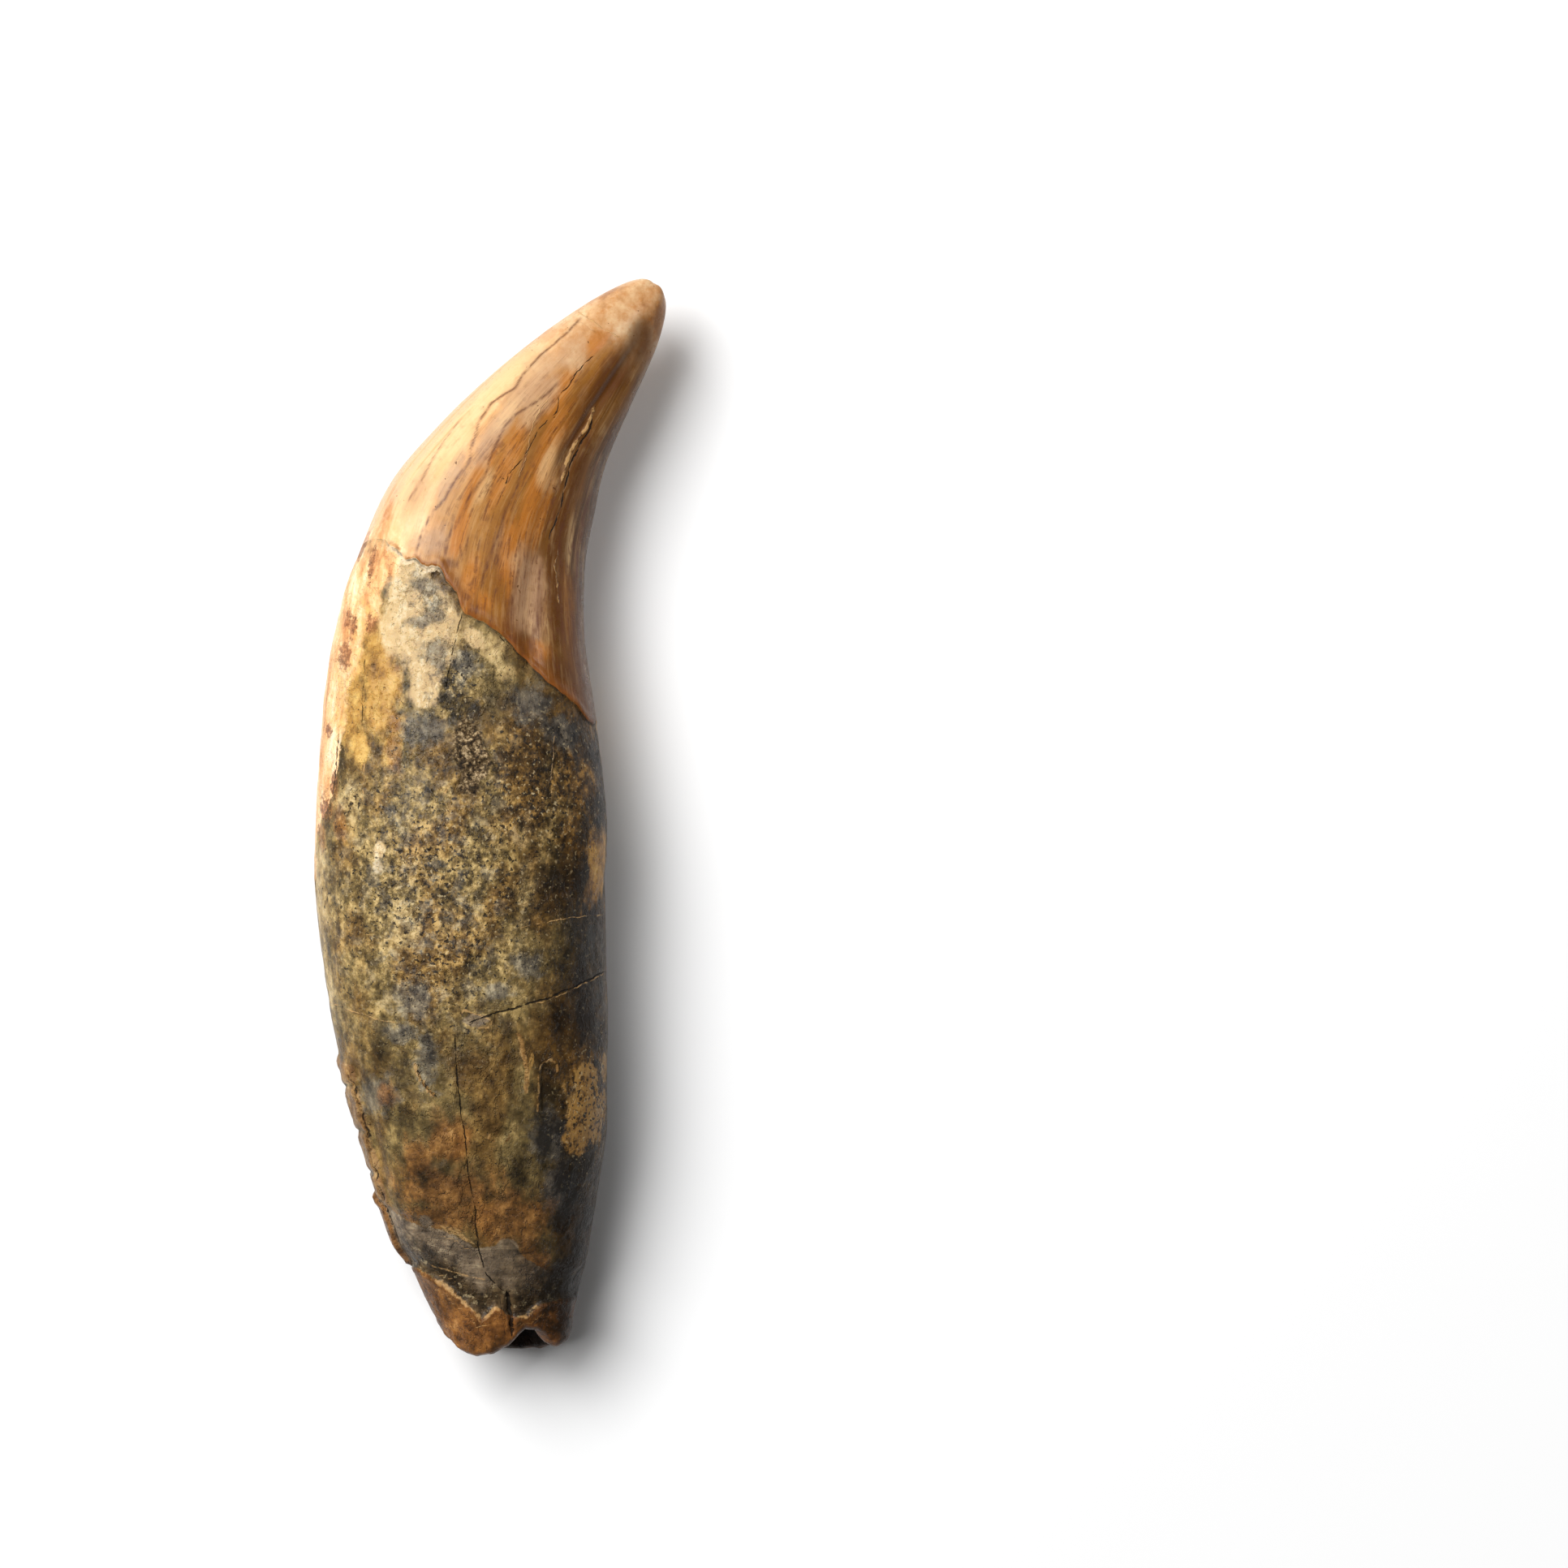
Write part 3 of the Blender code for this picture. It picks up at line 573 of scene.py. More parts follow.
def enamel_edge_place(angle):
    """The place where the enamel ends at each angle, found by halving: on the upper side where
    the skin crosses the chipped edge, and elsewhere where it reaches the smooth edge's y, which
    is averaged over a few degrees so that it has no corners."""
    chipped = between(angle, CHIPPED_FROM_ANGLE, CHIPPED_TO_ANGLE, CHIPPED_FADE)
    window = np.linspace(-EDGE_ROUNDING, EDGE_ROUNDING, 9)
    near = (angle[:, None] + window) % 360
    smooth_y = np.interp(near, SMOOTH_EDGE[:, 0], SMOOTH_EDGE[:, 1]).mean(axis=1)
    low, high = np.ones_like(angle), np.full_like(angle, float(LAST))
    for _ in range(26):
        middle = (low + high) / 2
        point = skin_point(middle, angle)
        chipped_y = np.interp(point[..., 0], CHIPPED_EDGE[:, 0], CHIPPED_EDGE[:, 1])
        above = point[..., 1] > smooth_y + (chipped_y - smooth_y) * chipped
        low, high = np.where(above, middle, low), np.where(above, high, middle)
    return (low + high) / 2, chipped


def closer_at_start(count, closeness, reach):
    """Shares from just over 0 to 1, closer together near 0: even ones less the closeness times
    the reach times 1 - e^(-share / reach), scaled to end at 1."""
    even = np.arange(1, count + 1) / count
    share = even - closeness * reach * (1 - np.exp(-even / reach))
    return share / share[-1]


def body_grid():
    """The outside of the tooth as places and angles: rings that are round at the tip, follow the
    enamel's edge where it ends, and are round again at the broken end."""
    turn = np.linspace(0, 2 * math.pi, ROUND_POINTS, endpoint=False)
    angle = np.degrees(turn + UPPER_DENSITY * np.cos(turn)) % 360
    angle = np.sort(angle)
    fine = np.linspace(1, LAST, 1200)
    columns = section_at(fine)
    middle = (columns[:, 0:2] + columns[:, 2:4]) / 2
    step = np.hypot(*np.diff(middle, axis=0).T)
    length = np.concatenate([[0.0], np.cumsum(step)])

    edge_place, chipped = enamel_edge_place(angle)
    edge = np.interp(edge_place, fine, length)
    radians = np.radians(angle)
    circle = CHIP_CIRCLE * np.column_stack([np.cos(radians), np.sin(radians), 0 * angle])
    edge = edge + chipped * CHIP_DEPTH * rough(circle, CHIP_SIZE, 3)
    cap = 1 - np.cos(np.linspace(0.04, 0.5, CAP_RINGS) * math.pi)
    down = 1 - closer_at_start(CROWN_RINGS + 1, 0.45, 0.12)[::-1]
    down = np.append(down[1:], 1.0)
    crown_length = edge[None, :] * down[:, None]
    on = closer_at_start(ROOT_RINGS, 0.5, 0.04)
    root_length = edge[None, :] + (length[-1] - edge[None, :]) * on[:, None]
    lengths = np.vstack([crown_length, root_length])
    place = np.interp(lengths, length, fine)
    place = np.vstack([np.broadcast_to(cap[:, None], (CAP_RINGS, ROUND_POINTS)), place])
    before = np.broadcast_to(cap[:, None] * 1.5 - 1.5, (CAP_RINGS, ROUND_POINTS))
    lengths = np.vstack([before, lengths])
    past_edge = lengths - edge[None, :]
    return place, np.broadcast_to(angle, place.shape), lengths, past_edge, chipped, length[-1]


def canal_grid(form):
    """The rim as a half turn of the wall's thickness, and the canal as a taper that closes
    faster towards its end: how far in from the outside, and how deep, for each ring."""
    turn = np.linspace(0, math.pi, RIM_RINGS + 1)[1:]
    share = np.linspace(0, 1, CANAL_RINGS + 2)[1:-1]
    narrow = 1 - share**CANAL_TAPER
    depth = np.concatenate([-form.wall * np.sin(turn) / 2, form.canal_depth * share])
    return form.wall * (1 - np.cos(turn)) / 2, narrow, depth


def row_middle(row):
    """The middle of one section: halfway between its edges, and half its thickness over its
    underside."""
    plan = (row[0:2] + row[2:4]) / 2
    return np.array([plan[0], plan[1], row[4] + row[5]])


def smooth_skin(form):
    """Points of the smooth skin from the tip to the canal's end, with what the relief and the
    finish need to know about each of them. The outside is the sections' ovals. The rim and the
    canal are the last section's oval, shrunk by the wall and moved back along the root."""
    place, angle, lengths, past_edge, chipped, whole = body_grid()
    outside = skin_point(place, angle)

    end = section_at(np.array(float(LAST)))
    before = section_at(np.array(LAST - END_STEP))
    along = row_middle(end) - row_middle(before)
    along /= np.linalg.norm(along)
    rim_inset, narrow, depth = canal_grid(form)
    half_width, half_thick = np.hypot(*(end[2:4] - end[0:2])) / 2, end[4]
    wide = np.concatenate([half_width - rim_inset, (half_width - form.wall) * narrow])
    thick = np.concatenate([half_thick - rim_inset, (half_thick - form.wall) * narrow])
    across, over = oval(angle[-1], row_middle(end)[1])
    side = (end[2:4] - end[0:2]) / 2 / half_width
    inside = row_middle(end) - along * depth[:, None]
    inside = np.repeat(inside[:, None, :], ROUND_POINTS, axis=1)
    inside[..., 0:2] += side * wide[:, None, None] * across[None, :, None]
    inside[..., 2] += thick[:, None] * over

    points = np.concatenate([outside, inside])
    angle = np.vstack([angle, np.repeat(angle[-1:], len(depth), axis=0)])
    before_end = np.concatenate([whole - lengths, np.abs(depth)[:, None] + 0 * inside[..., 0]])
    reach = np.interp(angle, RIM_REACH[:, 0], RIM_REACH[:, 1])
    reach = reach + RIM_RAGGEDNESS * rough(points, 1.8, 9)
    near_end = smooth_step(-before_end, -RIM_BLEND * 2, 0.0)
    points = points + (reach * near_end)[..., None] * along
    inner = np.concatenate([0 * lengths[:, 0], np.clip(rim_inset / form.wall, 0, 1),
                            np.ones(CANAL_RINGS)])
    deep = np.concatenate([0 * lengths[:, 0], 0 * rim_inset, depth[RIM_RINGS:]])
    last = np.repeat(past_edge[-1:], len(depth), axis=0)
    shape = points.shape[:2]
    tip = [*SECTIONS[0, 0:2], SECTIONS[0, 5]]
    return {
        "points": points,
        "angle": angle,
        "past_edge": np.vstack([past_edge, last]),
        "chipped": np.broadcast_to(chipped, shape),
        "inner": np.broadcast_to(inner[:, None], shape),
        "deep": np.broadcast_to(deep[:, None], shape),
        "poles": np.array([tip, row_middle(end) - along * form.canal_depth]),
    }


def normals_of(points):
    """Outward normals of a grid that is closed round the tooth: the cross product of its steps
    along and round."""
    down = np.gradient(points, axis=0)
    turn = np.roll(points, -1, axis=1) - np.roll(points, 1, axis=1)
    normal = np.cross(turn, down)
    return normal / np.maximum(np.linalg.norm(normal, axis=2, keepdims=True), 1e-9)


def patch_field(x, y, patches):
    """The highest of the patches' fields at each place: 1 in a patch's middle, 0.5 on its
    ellipse, and 0 at twice its size."""
    field = np.zeros_like(x)
    for patch_x, patch_y, wide, long, turn in patches:
        cosine, sine = math.cos(math.radians(turn)), math.sin(math.radians(turn))
        across = (x - patch_x) * cosine - (y - patch_y) * sine
        lengthwise = (x - patch_x) * sine + (y - patch_y) * cosine
        away = np.hypot(across / wide, lengthwise / long)
        field = np.maximum(field, np.clip(1 - away / 2, 0, 1))
    return field


def both_sides(points, upper, patches):
    """A patch field on the upper side, and the same patches mirrored and moved along on the
    underside."""
    x, y = points[..., 0], points[..., 1]
    under_x, under_y = -x * UNDER_SHRINK[0] - UNDER_MOVE[0], y * UNDER_SHRINK[1] + UNDER_MOVE[1]
    under = patch_field(under_x, under_y, patches)
    return patch_field(x, y, patches) * upper + under * (1 - upper)


def line_fields(points, upper, lines, reach=0.7):
    """For the nearest of some lines: the signed distance from it, and its half width there,
    which tapers at its ends and is nothing out of reach. Also the groove that they make."""
    x, y = points[..., 0], points[..., 1]
    x = x + 0.10 * rough(points, 1.3, 21)
    y = y + 0.10 * rough(points, 1.3, 25)
    distance, width, groove = np.full_like(x, reach), np.zeros_like(x), np.zeros_like(x)
    for line, half_width, depth in lines:
        away, run, whole = along_line(x, y, np.array(line))
        taper = smooth_step(run, 0, 0.6) * smooth_step(whole - run, 0, 0.6) * upper
        near = np.abs(away) < np.abs(distance)
        distance = np.where(near, away, distance)
        width = np.where(near, half_width * taper * (np.abs(away) < reach), width)
        groove -= depth * taper * np.exp(-(away / max(half_width * 1.6, 0.16)) ** 2)
    return distance, width, groove


def growth_field(points, upper):
    """How strongly the crown's growth lines show: a bell across each line."""
    x = points[..., 0] + 0.15 * rough(points, 2.0, 31)
    y = points[..., 1]
    field = np.zeros_like(x)
    for line, half_width, strength in GROWTH_LINES:
        away, run, whole = along_line(x, y, np.array(line))
        taper = smooth_step(run, -0.1, 1.0) * smooth_step(whole - run, -0.1, 1.0)
        field = np.maximum(field, strength * taper * np.exp(-(away / half_width) ** 2))
    return field * upper


def flake_relief(points, upper):
    """Steps along the flakes' edges: a sharp drop on the lower side that rises back to the skin
    at its reach. Also how near each place is to a broken edge, on its higher side, where the
    finish lays a paler strip that is partly the bare broken face and partly a painted highlight."""
    x = points[..., 0] + 0.12 * rough(points, 1.2, 23)
    y = points[..., 1] + 0.12 * rough(points, 1.2, 27)
    relief, pale_lit_faces = np.zeros_like(x), np.zeros_like(x)
    for line, height, reach in FLAKES:
        away, run, whole = along_line(x, y, np.array(line))
        away = away * np.sign(height)
        taper = smooth_step(run, 0, 0.5) * smooth_step(whole - run, 0, 0.5) * upper
        drop = smooth_step(away, 0.0, 0.22) * (1 - smooth_step(away, 0.22, reach))
        lip = 0.25 * np.exp(-((away + 0.2) / 0.25) ** 2)
        relief += abs(height) * taper * (lip - drop)
        pale_lit_face = 1 - smooth_step(np.abs(away + 0.05 * reach), 0.02 * reach, 0.17 * reach)
        pale_lit_faces = np.maximum(pale_lit_faces, taper * pale_lit_face)
    return relief, pale_lit_faces


def pit_relief(points, upper):
    """Round pits with a bell-shaped floor."""
    x, y = points[..., 0], points[..., 1]
    relief = np.zeros_like(x)
    for pit_x, pit_y, radius, depth in PITS:
        away = np.hypot(x - pit_x, y - pit_y) / radius
        relief -= depth * np.exp(-away**2) * upper
    return relief


def tongue_field(angle, y):
    """How far inside the tongue of pale cementum a place is, in degrees round the tooth."""
    upper = np.interp(y, TONGUE_UPPER[:, 0], TONGUE_UPPER[:, 1])
    under = np.interp(y, TONGUE_UNDER[:, 0], TONGUE_UNDER[:, 1])
    return np.minimum(angle - upper, under - angle)


def crust_field(points, angle):
    """1 on the crust and 0 off it: a band round the convex edge with a wavy margin, cut by the
    furrows across it."""
    y = points[..., 1] + 0.5 * rough(points, 2.4, 43)
    inside = np.minimum(angle - CRUST_FROM_ANGLE, CRUST_TO_ANGLE - angle) + 5 * rough(points, 2.6, 41)
    furrows = sum(hump(y, place, 0.6) for place in FURROWS)
    along = between(y, CRUST_FROM_Y, CRUST_TO_Y, 0.8)
    return smooth_step(inside, 0, 4.5) * along * (1 - 0.8 * furrows)


def splinter_field(points, angle):
    """1 in the middle of the splinter, falling to 0 on its ragged outline and on below 0. The
    splinter narrows towards both ends."""
    lengthwise = (points[..., 1] - SPLINTER_Y) / SPLINTER_REACH
    across = (angle - SPLINTER_ANGLE) / SPLINTER_SPREAD * (1 + lengthwise**2)
    return 1 - np.hypot(across, lengthwise) + 0.16 * rough(points, 1.2, 49)


def relief_of(skin, form, facing):
    """How far the skin stands out at each place, in millimetres: the sum of the broad waves, the
    enamel's ledge, the crust and splinter, the peeled belt, the noise of each surface, and the
    steps, pits and lines. Facing is the height of the normal, which tells the upper side."""
    points, angle = skin["points"], skin["angle"]
    x, y = points[..., 0], points[..., 1]
    upper = smooth_step(facing, -0.1, 0.25)
    radians = np.radians(angle)
    swell = sum(
        high * np.sin(waves * radians + twist * y + start) for high, waves, twist, start in SWELLS
    )
    past = skin["past_edge"]
    on_root = smooth_step(past, 0.0, LEDGE_DROP - LEDGE_SHARPENING * skin["chipped"])
    ledge = form.enamel_step * (1 + LEDGE_UNEVENNESS * rough(points, 2.5, 5)) * on_root
    ledge = ledge * (1 - LEDGE_CONCAVE_LOSS * between(angle, *LEDGE_CONCAVE))
    ledge = ledge * (1 - smooth_step(past, *LEDGE_RETURN))
    ledge = ledge * (1 - LEDGE_CONVEX_LOSS * between(angle, *LEDGE_CONVEX))
    rim = LEDGE_LIP * skin["chipped"] * hump(past, -0.35, 0.7) * (1 - on_root)

    crust = crust_field(points, angle)
    raised = form.crust_height * crust * (0.85 + 0.35 * rough(points, 2.2, 45))
    splinter = splinter_field(points, angle)
    raised += form.splinter_height * smooth_step(splinter, 0.0, 0.14)
    raised -= GAP_DEPTH * hump(splinter, -0.10, 0.12) * between(angle, *GAP_ANGLES)
    crownward = np.interp(x, PEEL_CROWNWARD[:, 0], PEEL_CROWNWARD[:, 1])
    endward = np.interp(x, PEEL_ENDWARD[:, 0], PEEL_ENDWARD[:, 1])
    peel = smooth_step(y, endward - 0.02, endward + PEEL_SHARP)
    peel = peel * (1 - smooth_step(y, crownward, crownward + PEEL_SOFT))
    peel = form.peel_step * peel * upper
    lip = PEEL_LIP * hump(y, endward - 0.25, 0.5) * upper

    root = smooth_step(past, -0.05, 0.3)
    grit = smooth_step(both_sides(points, upper, GRIT) + 0.1 * rough(points, 0.8, 51), 0.44, 0.52)
    texture = root * (0.05 * rough(points, 5.0, 61) + 0.022 * rough(points, 1.3, 65))
    texture += root * grit * (GRIT_ROUGHNESS * rough(points, 1.0, 71) + GRIT_HEIGHT)
    rugged = smooth_step(rough(points, 7.0, 91), -0.3, 0.4) * root
    plates = smooth_step(rough(points * (1, 0.6, 1), 2.6, 93), 0.10, 0.22)
    texture += rugged * (0.06 * plates + 0.03 * rough(points, 0.9, 95))
    texture += (1 - root) * 0.012 * rough(points * (1, 0.3, 1), 2.0, 75)
    dark = line_fields(points, upper, DARK_LINES)
    pale = line_fields(points, upper, PALE_LINES)
    edges = line_fields(points, upper, EDGE_LINES)
    relief = swell - ledge + rim + raised - peel + lip + texture
    steps, pale_lit_faces = flake_relief(points, upper)
    relief = relief + steps + pit_relief(points, upper) + dark[2] + pale[2] + edges[2]
    relief -= GROOVE_DEPTH * hump(oval(angle, y)[0], *GROOVE_ACROSS) * between(y, *GROOVE_ALONG)
    inner = skin["inner"]
    relief = relief * (1 - smooth_step(inner, 0.2, 1.0)) + 0.12 * rough(points, 1.5, 81) * inner
    return relief, upper, (dark, pale, edges), (grit, crust, splinter, pale_lit_faces)


def grown_skin(form):
    """The skin's final points, which are the smooth ones moved along their normals by the relief,
    and the values that its finish reads."""
    skin = smooth_skin(form)
    points = skin["points"]
    normal = normals_of(points)
    relief, upper, lines, (grit, crust, splinter, pale_lit_faces) = relief_of(skin, form, normal[..., 2])
    tip = smooth_step(np.arange(len(points)), 1, CAP_RINGS)[:, None]
    moved = points + normal * (relief * tip)[..., None]
    moved[..., 2] = np.maximum(moved[..., 2], 0.0)

    angle, y = skin["angle"], points[..., 1]
    radians = np.radians(angle)
    tongue = tongue_field(angle, y)
    fields = {
        "past_edge": np.clip(skin["past_edge"], -6, 30),
        "chipped": skin["chipped"],
        "tongue": np.clip(tongue / 4, -3, 3),
        "across": oval(angle, y)[0],
        "brown_edge": smooth_step(skin["past_edge"], -2.6, -0.4) * between(angle, 30, 100, 14),
        "grit": grit,
        "inner": skin["inner"],
        "deep": skin["deep"] / form.canal_depth,
        "growth": growth_field(points, upper),
        "around": np.clip(angle, 90, 270),
        "crust": crust,
        "pale_lit_faces": pale_lit_faces,
        "splinter": np.clip(splinter, -1, 1),
        "height": moved[..., 1],
    }
    patches = {
        "cream": CREAM, "honey": HONEY, "slate": SLATE, "speckled": SPECKLED,
        "pale_specks": PALE_SPECKS, "rust": RUST, "tan": TAN, "dark": DARK, "grey": GREY,
        "umber": UMBER, "amber": AMBER, "mauve": MAUVE, "milky": MILKY, "smudge": SMUDGE,
        "khaki": KHAKI,
    }
    for name, table in patches.items():
        fields[name] = both_sides(points, upper, table)
    spots = patch_field(points[..., 0], y, CREAM_SPOTS) * upper
    fields["cream"] = np.maximum(fields["cream"], spots)
    for name, (distance, width, _) in zip(("dark", "pale", "edge"), lines):
        fields[name + "_line"] = distance
        fields[name + "_width"] = width
    crownward = np.interp(points[..., 0], PEEL_CROWNWARD[:, 0], PEEL_CROWNWARD[:, 1])
    endward = np.interp(points[..., 0], PEEL_ENDWARD[:, 0], PEEL_ENDWARD[:, 1])
    fields["below_belt"] = np.clip(crownward - y, -3, 3)
    fields["above_end"] = np.clip(y - endward, -3, 6) * upper + (1 - upper) * np.clip(y + 43.5, -3, 6)
    grain = np.stack([9 * np.cos(radians), 9 * np.sin(radians), 0.09 * points[..., 1]], axis=-1)
    return moved, skin["poles"], fields, grain


def closed_mesh(name, points, poles):
    """Quads between neighbouring rings and a fan from the first and last ring to a pole, all as
    index arrays, facing outwards."""
    rings, around = points.shape[:2]
    index = np.arange(rings * around).reshape(rings, around)
    nxt = np.roll(index, -1, axis=1)
    quads = np.stack([index[:-1], nxt[:-1], nxt[1:], index[1:]], axis=-1).reshape(-1, 4)
    first = np.stack([np.full(around, rings * around), nxt[0], index[0]], axis=-1)
    last = np.stack([np.full(around, rings * around + 1), index[-1], nxt[-1]], axis=-1)
    corners = np.concatenate([quads.ravel(), first.ravel(), last.ravel()]).astype(np.int32)
    sizes = np.concatenate([np.full(len(quads), 4), np.full(2 * around, 3)])
    mesh = bpy.data.meshes.new(name)
    mesh.vertices.add(rings * around + 2)
    places = np.concatenate([points.reshape(-1, 3), poles]) * MM
    mesh.vertices.foreach_set("co", places.astype(np.float32).ravel())
    mesh.loops.add(len(corners))
    mesh.loops.foreach_set("vertex_index", corners)
    mesh.polygons.add(len(sizes))
    starts = np.concatenate([[0], np.cumsum(sizes)[:-1]]).astype(np.int32)
    mesh.polygons.foreach_set("loop_start", starts)
    mesh.update(calc_edges=True)
    mesh.validate()
    mesh.shade_smooth()
    return mesh


def store(mesh, name, values):
    """Keeps one number or one vector for each point, with the poles like their rings."""
    if values.ndim == 2:
        attribute = mesh.attributes.new(name, "FLOAT", "POINT")
        flat = np.concatenate([values.ravel(), [values[0].mean(), values[-1].mean()]])
        attribute.data.foreach_set("value", flat.astype(np.float32))
        return
    attribute = mesh.attributes.new(name, "FLOAT_VECTOR", "POINT")
    ends = [values[0].mean(axis=0), values[-1].mean(axis=0)]
    flat = np.concatenate([values.reshape(-1, 3), ends])
    attribute.data.foreach_set("vector", flat.astype(np.float32).ravel())


class Finish:
    """Adds nodes to one material. Each call gives the socket that holds its result, and takes
    sockets or plain values."""

    def __init__(self, name):
        self.material = bpy.data.materials.new(name)
        self.material.use_nodes = True
        self.tree = self.material.node_tree
        self.shader = self.tree.nodes["Principled BSDF"]
        coordinates = self.tree.nodes.new("ShaderNodeTexCoord").outputs["Object"]
        self.place = self.vector("SCALE", coordinates, scale=1 / MM)

    def give(self, socket, value):
        """Links a socket to another, or sets its own value."""
        if isinstance(value, bpy.types.NodeSocket):
            self.tree.links.new(value, socket)
        else:
            socket.default_value = value

    def math(self, operation, first, second=0.0):
        """One step of arithmetic on two values."""
        node = self.tree.nodes.new("ShaderNodeMath")
        node.operation = operation
        self.give(node.inputs[0], first)
        self.give(node.inputs[1], second)
        return node.outputs[0]

    def vector(self, operation, first, second=(0, 0, 0), scale=1.0):
        """One step of arithmetic on two vectors, or on a vector and a scale."""
        node = self.tree.nodes.new("ShaderNodeVectorMath")
        node.operation = operation
        self.give(node.inputs[0], first)
        self.give(node.inputs[1], second)
        if operation == "SCALE":
            self.give(node.inputs["Scale"], scale)
        return node.outputs[0]

    def field(self, name, output="Fac"):
        """The value of an attribute of the mesh."""
        node = self.tree.nodes.new("ShaderNodeAttribute")
        node.attribute_name = name
        return node.outputs[output]

    def rise(self, value, low, high, bottom=0.0, top=1.0):
        """A smooth step of the value from bottom to top between low and high."""
        node = self.tree.nodes.new("ShaderNodeMapRange")
        node.interpolation_type = "SMOOTHSTEP"
        for socket, given in zip(node.inputs, (value, low, high, bottom, top)):
            self.give(socket, given)
        return node.outputs[0]

    def rise_linear(self, value, low, high):
        """The value's share of the way from low to high, kept between 0 and 1."""
        node = self.tree.nodes.new("ShaderNodeMapRange")
        for socket, given in zip(node.inputs, (value, low, high)):
            self.give(socket, given)
        return node.outputs[0]

    def noise(self, size, seed, detail=3.0, roughness=0.55, place=None, stretch=(1, 1, 1), bend=0.0):
        """Noise of a size in millimetres, stretched along the axes by factors."""
        node = self.tree.nodes.new("ShaderNodeTexNoise")
        place = self.place if place is None else place
        moved = self.vector("MULTIPLY_ADD", place, tuple(1 / (size * s) for s in stretch))
        moved.node.inputs[2].default_value = (seed * 7.3, seed * 3.1, seed * 5.7)
        self.give(node.inputs["Vector"], moved)
        node.inputs["Scale"].default_value = 1.0
        node.inputs["Detail"].default_value = detail
        node.inputs["Roughness"].default_value = roughness
        node.inputs["Distortion"].default_value = bend
        return node.outputs["Fac"]

    def lay(self, under, over, *shares):
        """A colour laid over another by the product of some shares. It is a socket, or a colour
        as seen on a screen."""
        over = srgb(*over) if isinstance(over, tuple) else over
        return self.mix(under, over, self.times(*shares))

    def mix(self, under, over, share):
        """A colour laid over another by one share from 0 to 1. It is a socket, or linear light."""
        node = self.tree.nodes.new("ShaderNodeMix")
        node.data_type = "RGBA"
        node.clamp_factor = True
        self.give(node.inputs["Factor"], share)
        colours = [socket for socket in node.inputs if socket.type == "RGBA"]
        for socket, given in zip(colours, (under, over)):
            self.give(socket, (*given, 1.0) if isinstance(given, tuple) else given)
        return [socket for socket in node.outputs if socket.type == "RGBA"][0]

    def ramp(self, value, stops):
        """Colours, given as seen on a screen, along a value: each stop is its place and colour."""
        node = self.tree.nodes.new("ShaderNodeValToRGB")
        elements = node.color_ramp.elements
        for place, colour in stops[1:-1]:
            elements.new(place)
        for element, (place, colour) in zip(elements, stops):
            element.position = place
            element.color = (*srgb(*colour), 1.0)
        self.give(node.inputs["Fac"], value)
        return node.outputs["Color"]

    def times(self, *values):
        """The product of the values."""
        result = values[0]
        for value in values[1:]:
            result = self.math("MULTIPLY", result, value)
        return result

    def plus(self, *values):
        """The sum of the values."""
        result = values[0]
        for value in values[1:]:
            result = self.math("ADD", result, value)
        return result

    def swing(self, noise, height):
        """A noise round its middle, as a value that swings about 0."""
        return self.math("MULTIPLY", self.math("SUBTRACT", noise, 0.5), height)

    def most(self, first, second):
        """The greater of two values."""
        return self.math("MAXIMUM", first, second)

    def ragged(self, name, noise, edge=0.5, soft=0.08, raggedness=0.9):
        """Where the field of some patches, made ragged by noise, is over its edge."""
        pushed = self.plus(self.field(name), self.swing(noise, raggedness))
        return self.rise(pushed, edge - soft, edge + soft)

    def line(self, name, noise, wander, soft=0.03):
        """Where the nearest line runs, by its distance and its half width, both made uneven."""
        away = self.math("ABSOLUTE", self.plus(self.field(name + "_line"), wander))
        width = self.times(self.field(name + "_width"), self.rise(noise, 0.32, 0.62, 0.35, 1.6))
        inside = self.rise(self.math("SUBTRACT", away, width), -soft, soft, 1.0, 0.0)
        return self.times(inside, self.rise(width, 0.01, 0.03))


